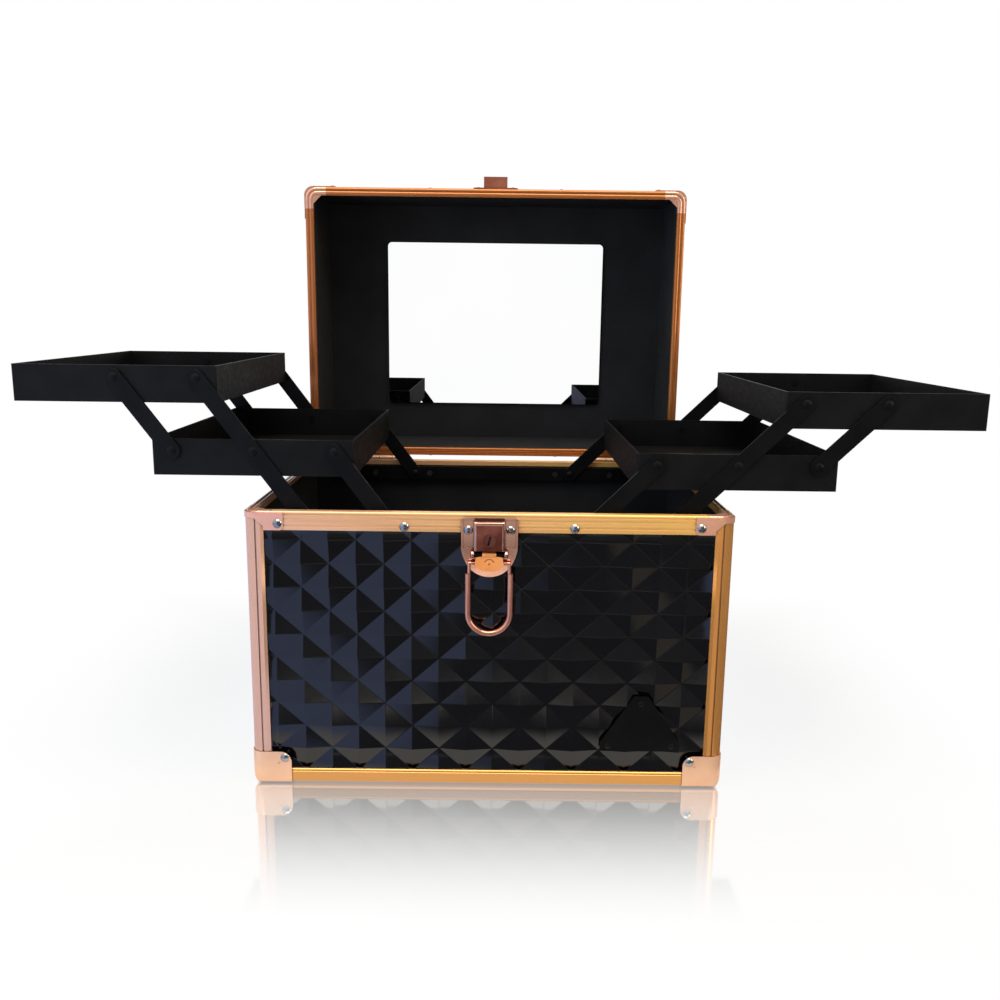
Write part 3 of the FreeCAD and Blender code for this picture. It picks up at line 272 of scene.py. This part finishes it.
def brushed_metal(name, grain, metallic, painted_shade_share, left, right):
    """Anodised metal, brushed along one direction or along X and Y by which side it is on.

    Its tone drifts over the width of the case as painted light, cool at the left end and warm at the right;
    left and right are each a darker and a lighter tone.
    The less metallic it is, the more satin it looks; the share given is how much of the tone is kept in
    grooves and along joints, where shade is painted.
    """
    m = Maker(name, Metallic=metallic)
    split = m.add("ShaderNodeSeparateXYZ")
    m.link(m.place, "Object", split, "Vector")
    if grain == "rim":
        along_x = m.noise(1.0, 3.0, 0.6, GRAIN_X)
        along_y = m.noise(1.0, 3.0, 0.6, GRAIN_Y)
        aside = m.number("ABSOLUTE", (split, "X"))
        over = m.number("GREATER_THAN", aside, HALF_WIDTH - SIDE_RAIL_REACH)
        both = m.add("ShaderNodeMix")
        m.link(*over, both, 0)
        m.link(along_x, "Fac", both, 2)
        m.link(along_y, "Fac", both, 3)
        streak, out = both, "Result"
    else:
        streak, out = m.noise(1.0, 3.0, 0.6, grain), "Fac"
    side_lit_ends = [m.ramp(streak, [(0.25, dark), (0.75, light)], out) for dark, light in (left, right)]
    # Painted light: the tone shifts from the cool-lit left end to the warm-lit right end
    side_light_drift = m.fade((split, "X"), -HALF_WIDTH, HALF_WIDTH)
    tone = m.blend(side_light_drift, *((end, "Color") for end in side_lit_ends))
    # Painted shade: the tone darkens in grooves and along joints
    m.paint_hollow_shade(tone, tuple(painted_shade_share * part for part in left[0]), PAINTED_SHADE_REACH)
    m.roughness(streak, 0.08, 0.13, out)
    m.bump(streak, 0.005, SKIN_DEPTH, out)
    return m.material


def plated(name, dark, light, low, high, peel=0.06, metallic=1.0):
    """Plated pressing with a faint cloudy tone, shade painted into its grooves and joints, and an uneven
    skin.
    """
    m = Maker(name, Metallic=metallic)
    tone = m.ramp(m.noise(60.0, 4.0), [(0.3, dark), (0.7, light)])
    # Painted shade: the tone darkens in grooves and along joints
    painted_shade_tone = tuple(PLATED_PAINTED_SHADE_SHARE * part for part in dark)
    m.paint_hollow_shade((tone, "Color"), painted_shade_tone, PLATED_PAINTED_SHADE_REACH)
    m.roughness(m.noise(220.0, 3.0), low, high)
    m.bump(m.noise(900.0, 3.0), peel, SKIN_DEPTH)
    return m.material


def grained_plastic(name, dark, light, low, high, grain, strength, specular):
    m = Maker(name, **{"Specular IOR Level": specular})
    m.colour(m.noise(45.0, 4.0), [(0.3, dark), (0.7, light)])
    m.roughness(m.noise(300.0, 3.0), low, high)
    m.bump(m.noise(grain, 3.0, 0.6), strength, SKIN_DEPTH)
    return m.material


def woven_lining():
    finish = {"Specular IOR Level": 0.10, "Sheen Weight": 0.06, "Sheen Roughness": 0.5}
    m = Maker("lining_cloth", **finish)
    m.shader.inputs["Sheen Tint"].default_value = (0.16, 0.16, 0.18, 1.0)
    warp = m.add("ShaderNodeTexWave", wave_type="BANDS", bands_direction="X")
    weft = m.add("ShaderNodeTexWave", wave_type="BANDS", bands_direction="Z")
    for thread in (warp, weft):
        thread.inputs["Scale"].default_value = 420.0
        thread.inputs["Distortion"].default_value = 1.2
        m.link(m.place, "Object", thread, "Vector")
    weave, woven = m.number("MULTIPLY", (warp, "Fac"), (weft, "Fac"))
    m.colour(m.noise(25.0, 4.0), [(0.3, (0.0145, 0.0145, 0.0158)), (0.7, (0.0200, 0.0200, 0.0216))])
    m.roughness(m.noise(200.0, 3.0), 0.8, 0.95)
    m.bump(weave, 0.25, 0.0003, woven)
    return m.material


def silvered_glass():
    m = Maker("mirror_glass", Metallic=1.0, Roughness=0.0)
    m.colour(m.noise(8.0, 2.0), [(0.3, (0.965, 0.975, 0.97)), (0.7, (0.985, 0.99, 0.985))])
    return m.material


def lock_case():
    """Rose gold frame round a sunken pane with a deeper tone, a painted dark reflection of what the polished
    pane mirrors.
    """
    m = Maker("lock_case", Metallic=1.0)
    split = m.add("ShaderNodeSeparateXYZ")
    m.link(m.place, "Object", split, "Vector")
    cloud = m.noise(70.0, 3.0)
    frame_tone = m.ramp(cloud, [(0.3, (0.76, 0.41, 0.31)), (0.7, (0.90, 0.54, 0.43))])
    # Painted reflection: the pane's dark tone stands for the dark that the polished pane mirrors
    pane_painted_reflection_tone = m.ramp(cloud, [(0.35, (0.22, 0.062, 0.046)), (0.65, (0.44, 0.150, 0.115))])
    sunk = m.fade((split, "Y"), *(LOCK_FACE_Y + step for step in LOCK_PANE_SINK))
    inside = m.fade(m.number("ABSOLUTE", (split, "X")), LOCK_PANE_X + LOCK_PANE_EDGE, LOCK_PANE_X)
    forward = m.fade((split, "Y"), *(LOCK_FACE_Y + step for step in LOCK_PANE_BACK))
    pane = m.number("MULTIPLY", m.number("MULTIPLY", sunk, inside), forward)
    tone = m.blend(pane, (frame_tone, "Color"), (pane_painted_reflection_tone, "Color"))
    m.link(*tone, m.shader, "Base Color")
    m.roughness(m.noise(220.0, 3.0), 0.07, 0.14)
    m.bump(m.noise(700.0, 3.0), 0.03, SKIN_DEPTH)
    return m.material


# Tones of the rose gold frame: darker and lighter at the left end, then at the right end; the shift between
# the ends is painted light, cool at the left and warm at the right
RIM_SIDE_LIT_TONES = (((0.76, 0.41, 0.24), (0.86, 0.48, 0.28)),
             ((0.93, 0.49, 0.125), (1.0, 0.57, 0.165)))
RAIL_SIDE_LIT_TONES = (((0.64, 0.31, 0.095), (0.73, 0.36, 0.12)),
              ((0.64, 0.31, 0.085), (0.73, 0.36, 0.11)))
LID_SIDE_LIT_TONES = (((0.47, 0.15, 0.045), (0.57, 0.20, 0.065)),
             ((0.47, 0.155, 0.04), (0.57, 0.205, 0.055)))
POST_SIDE_LIT_TONES = (((0.88, 0.47, 0.29), (0.97, 0.54, 0.34)),
              ((0.86, 0.37, 0.095), (0.95, 0.43, 0.125)))
looks = {
    "facet_black": glossy_facets(),
    "rim_metal": brushed_metal("rose_gold_rim", "rim", 0.40, 0.55, *RIM_SIDE_LIT_TONES),
    "rail_metal": brushed_metal("rose_gold_rail", "rim", 0.82, 0.4, *RAIL_SIDE_LIT_TONES),
    "lid_rim_metal": brushed_metal("rose_gold_lid_rim", "rim", 0.55, 0.5, *LID_SIDE_LIT_TONES),
    "post_metal": brushed_metal("rose_gold_post", GRAIN_Z, 0.72, 0.4, *POST_SIDE_LIT_TONES),
    "lid_post_metal": brushed_metal("rose_gold_lid_post", GRAIN_Y, 0.72, 0.4, *POST_SIDE_LIT_TONES),
    "cap_metal": plated("rose_gold_cap", (0.79, 0.46, 0.285), (0.87, 0.525, 0.335),
                        0.32, 0.42, 0.06, 0.45),
    "corner_metal": plated("rose_gold_corner", (0.86, 0.42, 0.28), (0.96, 0.50, 0.34),
                           0.08, 0.16, 0.03, 0.62),
    "catch_metal": plated("rose_gold_catch", (0.40, 0.115, 0.065), (0.62, 0.23, 0.14),
                          0.08, 0.16, 0.03, 0.60),
    "bail_metal": plated("rose_gold_bail", (0.80, 0.34, 0.23), (0.94, 0.45, 0.33),
                         0.08, 0.14, 0.03, 0.85),
    "latch_metal": plated("rose_gold_latch", (0.78, 0.41, 0.30), (0.94, 0.54, 0.42), 0.05, 0.10, 0.03),
    "lever_metal": plated("lever_gold", (0.90, 0.31, 0.085), (1.0, 0.40, 0.13), 0.16, 0.26, 0.04, 0.45),
    # Painted reflection: the key plug is dark like the pane, for the dark that the polished plug mirrors
    "plug_painted_reflection": plated("key_plug", (0.20, 0.075, 0.060), (0.34, 0.15, 0.12), 0.10, 0.18, 0.04),
    "lock_case": lock_case(),
    "steel": plated("rivet_steel", (0.30, 0.32, 0.34), (0.46, 0.48, 0.51), 0.06, 0.14, 0.03),
    "screw_steel": plated("screw_steel", (0.13, 0.125, 0.115), (0.22, 0.21, 0.195), 0.30, 0.45, 0.03),
    "black_steel": grained_plastic("arm_black", (0.0032, 0.0032, 0.0036), (0.0052, 0.0053, 0.0060),
                                   0.34, 0.46, 1800.0, 0.08, 0.11),
    "tray_black": grained_plastic("tray_black", (0.0046, 0.0046, 0.0050), (0.0072, 0.0073, 0.0080),
                                  0.42, 0.56, 1500.0, 0.12, 0.10),
    "badge_black": grained_plastic("badge_black", (0.0024, 0.0024, 0.0027), (0.0038, 0.0039, 0.0043),
                                   0.30, 0.42, 1600.0, 0.05, 0.18),
    "floor_board": grained_plastic("floor_board", (0.010, 0.010, 0.011), (0.018, 0.018, 0.020),
                                   0.6, 0.8, 900.0, 0.2, 0.3),
    "rubber": grained_plastic("grip_rubber", (0.008, 0.008, 0.009), (0.014, 0.014, 0.016),
                              0.55, 0.75, 1200.0, 0.15, 0.3),
    "lining": woven_lining(),
    "mirror": silvered_glass(),
}

node_looks = {
    "base_floor_panel": "floor_board",
    "base_corner_posts": "post_metal",
    "base_rim_rails": "rim_metal",
    "base_bottom_rails": "rail_metal",
    "base_rim_corners": "corner_metal",
    "base_foot_caps": "cap_metal",
    "base_frame_rivets": "steel",
    "base_lining": "lining",
    "tray_strips": "black_steel",
    "tray_strip_screws": "screw_steel",
    "base_pivot_rivets": "black_steel",
    "latch_plate": "latch_metal",
    "lock_body": "lock_case",
    "lock_plug": "plug_painted_reflection",
    # Painted shade: the latch pin is black to stand for the shade between the lock and the lever
    "latch_pin": "black_steel",
    "latch_lever": "lever_metal",
    "latch_bail": "bail_metal",
    "badge_plate": "badge_black",
    "badge_screws": "badge_black",
    "hinge_base_leaves": "cap_metal",
    "hinge_pins": "steel",
    "hinge_lid_leaves": "cap_metal",
    "lid_corner_posts": "lid_post_metal",
    "lid_rim_rails": "lid_rim_metal",
    "lid_top_rails": "rail_metal",
    "lid_rim_corners": "corner_metal",
    "lid_top_caps": "cap_metal",
    "lid_frame_rivets": "steel",
    "lid_lining": "lining",
    "lid_mirror": "mirror",
    "lid_catch": "catch_metal",
    "handle_brackets": "cap_metal",
    "handle_pins": "steel",
    "handle_loop": "corner_metal",
    "handle_sleeve": "rubber",
}
for side in ("left", "right"):
    for part in ("main_arms", "inner_arms", "outer_arms"):
        node_looks[side + "_" + part] = "black_steel"
    for part in ("lower_tray", "upper_tray"):
        node_looks[side + "_" + part] = "tray_black"
    for part in ("lower_rivets", "upper_rivets"):
        node_looks[side + "_" + part] = "black_steel"
for name in nodes:
    look = looks[node_looks.get(name, "facet_black")]
    nodes[name].data.materials.clear()
    nodes[name].data.materials.append(look)


# Eased edges on the solids that stay

def ease(name, width, angle=30.0, segments=2):
    node = nodes[name]
    weld = node.modifiers.new("weld", "WELD")
    weld.merge_threshold = 0.000002
    bevel = node.modifiers.new("bevel", "BEVEL")
    bevel.width = width
    bevel.segments = segments
    bevel.limit_method = "ANGLE"
    bevel.angle_limit = math.radians(angle)
    bevel.use_clamp_overlap = True
    bevel.harden_normals = True


for side in ("left", "right"):
    ease(side + "_lower_tray", 0.0004)
    ease(side + "_upper_tray", 0.0004)
    for part in ("main_arms", "inner_arms", "outer_arms"):
        ease(side + "_" + part, 0.0002)
for name in ("lock_body", "latch_lever", "lid_catch", "latch_plate", "base_foot_caps", "lid_top_caps",
             "handle_brackets", "lid_mirror"):
    ease(name, 0.0002)


# Diamond panels with crisp folds

def diamond_field(reach, rise, origin, place):
    """The whole pattern over a little more than the panel, with its folds eased."""
    mesh = bmesh.new()
    columns = [math.floor((reach[0] - origin[0]) / FACET_HALF_WIDTH) - 1,
               math.ceil((reach[1] - origin[0]) / FACET_HALF_WIDTH) + 1]
    rows = [math.floor((rise[0] - origin[1]) / FACET_HALF_HEIGHT) - 1,
            math.ceil((rise[1] - origin[1]) / FACET_HALF_HEIGHT) + 1]
    grid = {}
    for i in range(columns[0], columns[1] + 1):
        for j in range(rows[0], rows[1] + 1):
            sunk = FACET_RELIEF if (i + j) % 2 else 0.0
            spot = place(origin[0] + i * FACET_HALF_WIDTH, origin[1] + j * FACET_HALF_HEIGHT, sunk)
            grid[i, j] = mesh.verts.new(spot)
    for i in range(columns[0], columns[1]):
        for j in range(rows[0], rows[1]):
            a, b, c, d = grid[i, j], grid[i + 1, j], grid[i + 1, j + 1], grid[i, j + 1]
            for corners in ((a, b, d), (b, c, d)) if (i + j) % 2 == 0 else ((a, b, c), (a, c, d)):
                mesh.faces.new(corners)
    folds = [edge for edge in mesh.edges if not edge.is_boundary]
    bmesh.ops.bevel(mesh, geom=folds, offset=FACET_EDGE, offset_type="OFFSET", segments=2, profile=0.5,
                    affect="EDGES", clamp_overlap=True)
    return mesh


def everything(mesh):
    return mesh.verts[:] + mesh.edges[:] + mesh.faces[:]


def raise_land(mesh, edge, side, out, face):
    """Lifts the border that the frame covers, past one edge of the opening, to the level of the peaks."""
    for step in (LAND_START, LAND_END):
        bmesh.ops.bisect_plane(mesh, geom=everything(mesh), plane_co=edge + side * step, plane_no=side)
    for vertex in mesh.verts:
        if (vertex.co - edge).dot(side) > (LAND_START + LAND_END) / 2:
            vertex.co += out * (face - vertex.co.dot(out))


def facet_panel(name, body, node, across, up, out, origin, opening):
    """A closed board over a panel's own box, with the pattern in the opening of the frame round it."""
    low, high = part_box(node)
    across, up, out = Vector(across), Vector(up), Vector(out)
    reach = sorted((low.dot(across), high.dot(across)))
    rise = sorted((low.dot(up), high.dot(up)))
    back, face = sorted((low.dot(out), high.dot(out)))
    mesh = diamond_field(reach, rise, origin, lambda u, v, sunk: across * u + up * v + out * (face - sunk))
    for axis, limits, edges in ((across, reach, opening[0]), (up, rise, opening[1])):
        for limit, edge, side in zip(limits, edges, (-axis, axis)):
            bmesh.ops.bisect_plane(mesh, geom=everything(mesh), plane_co=axis * limit, plane_no=side,
                                   clear_outer=True)
            raise_land(mesh, axis * edge, side, out, face)
    rim = [edge for edge in mesh.edges if edge.is_boundary]
    wall = bmesh.ops.extrude_edge_only(mesh, edges=rim)["geom"]
    for vertex in [item for item in wall if isinstance(item, bmesh.types.BMVert)]:
        vertex.co += out * (back - vertex.co.dot(out))
    foot = [item for item in wall if isinstance(item, bmesh.types.BMEdge) and item.is_boundary]
    bmesh.ops.edgeloop_fill(mesh, edges=foot)
    bmesh.ops.recalc_face_normals(mesh, faces=mesh.faces[:])
    for part in mesh.faces:
        part.smooth = True
    for edge in rim + foot:
        edge.smooth = False
    data = bpy.data.meshes.new(name)
    mesh.to_mesh(data)
    mesh.free()
    piece = bpy.data.objects.new(name, data)
    scene.collection.objects.link(piece)
    flat = piece.modifiers.new("flat facets", "WEIGHTED_NORMAL")
    flat.weight = 100
    flat.keep_sharp = True
    data.materials.append(looks["facet_black"])
    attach(piece, body)
    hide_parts(node)


X, Y, Z = (1, 0, 0), (0, 1, 0), (0, 0, 1)
NX, NY, NZ = (-1, 0, 0), (0, -1, 0), (0, 0, -1)


def span(half, covered):
    return covered - half, half - covered


def shifted(middle, limits):
    return tuple(middle + limit for limit in limits)


long_wall = span(HALF_WIDTH, POST_LEG)
short_wall = span(HALF_DEPTH, POST_LEG)
base_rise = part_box("base_bottom_rails")[1].z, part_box("base_rim_rails")[0].z
front_origin = FRONT_PEAK_X, FRONT_PEAK_Z
base_origin = 0, FRONT_PEAK_Z
base_long = long_wall, base_rise
base_short = short_wall, base_rise
facet_panel("facets_base_front", "base", "base_front_panel", X, Z, NY, front_origin, base_long)
facet_panel("facets_base_rear", "base", "base_rear_panel", NX, Z, Y, base_origin, base_long)
facet_panel("facets_base_left", "base", "base_left_panel", NY, Z, NX, base_origin, base_short)
facet_panel("facets_base_right", "base", "base_right_panel", Y, Z, X, base_origin, base_short)
lid_low, lid_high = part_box("lid_left_panel")
lid_middle_z = (lid_low.z + lid_high.z) / 2
lid_peak_y = HINGE_Y + PEAK_DROP
lid_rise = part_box("lid_rim_rails")[1].y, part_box("lid_top_rails")[0].y
lid_long = long_wall, lid_rise
lid_short = shifted(lid_middle_z, short_wall), lid_rise
lid_side_origin = lid_middle_z, lid_peak_y
lid_top = span(HALF_WIDTH, END_RAIL_REACH), shifted(lid_middle_z, span(HALF_DEPTH, END_RAIL_REACH))
facet_panel("facets_lid_front", "lid", "lid_front_panel", X, Y, Z, (-FRONT_PEAK_X, lid_peak_y), lid_long)
facet_panel("facets_lid_rear", "lid", "lid_rear_panel", X, Y, NZ, (0, lid_peak_y), lid_long)
facet_panel("facets_lid_left", "lid", "lid_left_panel", Z, Y, NX, lid_side_origin, lid_short)
facet_panel("facets_lid_right", "lid", "lid_right_panel", Z, Y, X, lid_side_origin, lid_short)
facet_panel("facets_lid_top", "lid", "lid_top_panel", X, Z, Y, (0, lid_middle_z), lid_top)


# Floor: white to the camera with a short soft reflection, and shaded tones to what it is mirrored in

def mirrored_tones(n, split, away):
    """What shiny parts see of the floor: dim, with lit zones in front, a grey strip and a cool left."""
    x = split, "X"
    aside = n.number("ABSOLUTE", x)
    middle = n.fade(aside, *MIDDLE_WIDTH)
    straight = n.number("SUBTRACT", x, n.number("MULTIPLY", away, STRIP_SLOPE))
    leftward = n.number("ADD", x, n.number("MULTIPLY", away, COOL_SLOPE))
    under_rim = n.number("MULTIPLY", n.zone(away, *RIM_ZONE), n.fade(aside, *RIM_WIDTH))
    under_lock = n.number("MULTIPLY", n.zone(away, *LOCK_ZONE), middle)
    under_latch = n.number("MULTIPLY", n.zone(away, *LATCH_ZONE), middle)
    tone = n.blend(n.fade(away, *DIM_FADE), *DIM_TONES)
    tone = n.blend(under_rim, tone, RIM_GLOW)
    tone = n.blend(under_lock, tone, LOCK_SHADE)
    tone = n.blend(under_latch, tone, LATCH_GLOW)
    tone = n.blend(n.zone(straight, *STRIP_ZONE), tone, STRIP_TONE)
    tone = n.blend(n.fade(leftward, *COOL_FADE), tone, COOL_TONE)
    return n.blend(n.fade(away, *NEAR_FADE), tone, NEAR_TONE)


def white_floor():
    mesh = bpy.data.meshes.new("floor")
    corners = [(x * FLOOR_SIZE, y * FLOOR_SIZE, 0) for x, y in ((-1, -1), (1, -1), (1, 1), (-1, 1))]
    mesh.from_pydata(corners, [], [(0, 1, 2, 3)])
    floor = bpy.data.objects.new("floor", mesh)
    floor.location.z = -FLOOR_DROP
    scene.collection.objects.link(floor)
    material = bpy.data.materials.new("floor")
    material.use_nodes = True
    n = Nodes(material.node_tree)
    output = n.add("ShaderNodeOutputMaterial")
    path = n.add("ShaderNodeLightPath")
    place = n.add("ShaderNodeNewGeometry")
    split = n.add("ShaderNodeSeparateXYZ")
    n.link(place, "Position", split, 0)
    past = [n.number("SUBTRACT", n.number("ABSOLUTE", (split, axis)), half)
            for axis, half in (("X", HALF_WIDTH), ("Y", HALF_DEPTH))]
    away = n.number("MAXIMUM", *past)
    matt = n.add("ShaderNodeBsdfDiffuse")
    matt.inputs["Color"].default_value = (0.85, 0.85, 0.85, 1.0)
    white = n.add("ShaderNodeEmission")
    gloss = n.add("ShaderNodeBsdfGlossy")
    gloss.inputs["Roughness"].default_value = FLOOR_ROUGHNESS
    gloss.inputs["Color"].default_value = (0.96, 0.97, 0.98, 1.0)
    white_share = n.number("MULTIPLY", n.fade(away, *WHITE_FADE), 1.0 - FLOOR_WHITE)
    shown = n.choose(n.number("ADD", white_share, FLOOR_WHITE), matt, white)
    near_share = n.number("MULTIPLY", n.fade(away, *GLOSS_FADE), FLOOR_GLOSS)
    seen = n.choose(near_share, shown, gloss)
    mirrored = n.add("ShaderNodeEmission")
    n.link(*mirrored_tones(n, split, away), mirrored, "Color")
    last = n.choose((path, "Is Glossy Ray"), n.choose((path, "Is Camera Ray"), matt, seen), mirrored)
    last = n.choose((path, "Is Singular Ray"), last, white)
    n.link(last, 0, output, 0)
    mesh.materials.append(material)


white_floor()


# White surroundings; shiny parts mirror a studio that is cool low on the left, dim in front and warm above

def surroundings():
    world = bpy.data.worlds.new("studio")
    scene.world = world
    world.use_nodes = True
    n = Nodes(world.node_tree)
    output = n.add("ShaderNodeOutputWorld")
    path = n.add("ShaderNodeLightPath")
    place = n.add("ShaderNodeTexCoord")
    split = n.add("ShaderNodeSeparateXYZ")
    n.link(place, "Generated", split, 0)
    x, y, z = ((split, axis) for axis in "XYZ")
    left = n.blend(n.fade(z, *LEFT_RISE), COOL_TONE, LEFT_HIGH_TONE)
    tone = n.blend(n.fade(x, *RIGHT_FADE), FRONT_TONE, RIGHT_TONE)
    tone = n.blend(n.fade(x, *LEFT_FADE), tone, left)
    tone = n.blend(n.fade(y, *BACK_FADE), tone, WHITE)
    tone = n.blend(n.fade(z, *TOP_FADE), tone, TOP_TONE)
    studio = n.add("ShaderNodeBackground")
    n.link(*tone, studio, "Color")
    white = n.add("ShaderNodeBackground")
    white.inputs["Color"].default_value = (*WHITE, 1.0)
    soft = n.add("ShaderNodeBackground")
    soft.inputs["Color"].default_value = (0.95, 0.97, 1.0, 1.0)
    soft.inputs["Strength"].default_value = SOFT_STRENGTH
    clear = n.number("MAXIMUM", (path, "Is Camera Ray"), (path, "Is Transmission Ray"))
    clear = n.number("MAXIMUM", clear, (path, "Is Singular Ray"))
    last = n.choose(clear, n.choose((path, "Is Glossy Ray"), soft, studio), white)
    n.link(last, 0, output, 0)


surroundings()


def lamp(name, place, target, size, watts, colour):
    data = bpy.data.lights.new(name, "AREA")
    data.shape = "RECTANGLE"
    data.size, data.size_y = size
    data.energy = watts
    data.color = colour
    thing = bpy.data.objects.new(name, data)
    thing.location = place
    thing.rotation_mode = "QUATERNION"
    thing.rotation_quaternion = (Vector(target) - Vector(place)).to_track_quat("-Z", "Y")
    scene.collection.objects.link(thing)
    return thing


LEFT_LAMP = (-1.1, -0.95, 0.45), (0, 0, 0.15), (1.0, 1.2), 16.0, (0.80, 0.90, 1.0)
RIGHT_LAMP = (1.3, -0.55, 0.7), (0, 0, 0.15), (0.6, 0.9), 6.0, (1.0, 0.84, 0.64)
TOP_LAMP = (0.0, -0.5, 1.7), (0, 0, 0.2), (1.6, 1.2), 20.0, (1.0, 0.96, 0.88)
lamp("left_softbox", *LEFT_LAMP).visible_glossy = False
lamp("right_softbox", *RIGHT_LAMP)
lamp("top_softbox", *TOP_LAMP)


# Camera, at the photograph's place

CAMERA_PLACE = Vector((0.0058, -0.7588, 0.3397))
CAMERA_YAW = math.radians(0.1)
CAMERA_PITCH = math.radians(-11.26)
CAMERA_ROLL = math.radians(0.72)
CAMERA_LENS = 34.19

ahead = Vector((math.sin(CAMERA_YAW) * math.cos(CAMERA_PITCH),
                math.cos(CAMERA_YAW) * math.cos(CAMERA_PITCH),
                math.sin(CAMERA_PITCH)))
level = Vector((math.cos(CAMERA_YAW), -math.sin(CAMERA_YAW), 0.0))
above = level.cross(ahead)
right = level * math.cos(CAMERA_ROLL) + above * math.sin(CAMERA_ROLL)
upward = right.cross(ahead)
camera_data = bpy.data.cameras.new("camera")
camera_data.sensor_width = 36.0
camera_data.lens = CAMERA_LENS
camera_data.clip_start = 0.01
camera_data.clip_end = 100.0
camera = bpy.data.objects.new("camera", camera_data)
turn = Matrix((right, upward, -ahead)).transposed().to_4x4()
camera.matrix_world = Matrix.Translation(CAMERA_PLACE) @ turn
scene.collection.objects.link(camera)
scene.camera = camera
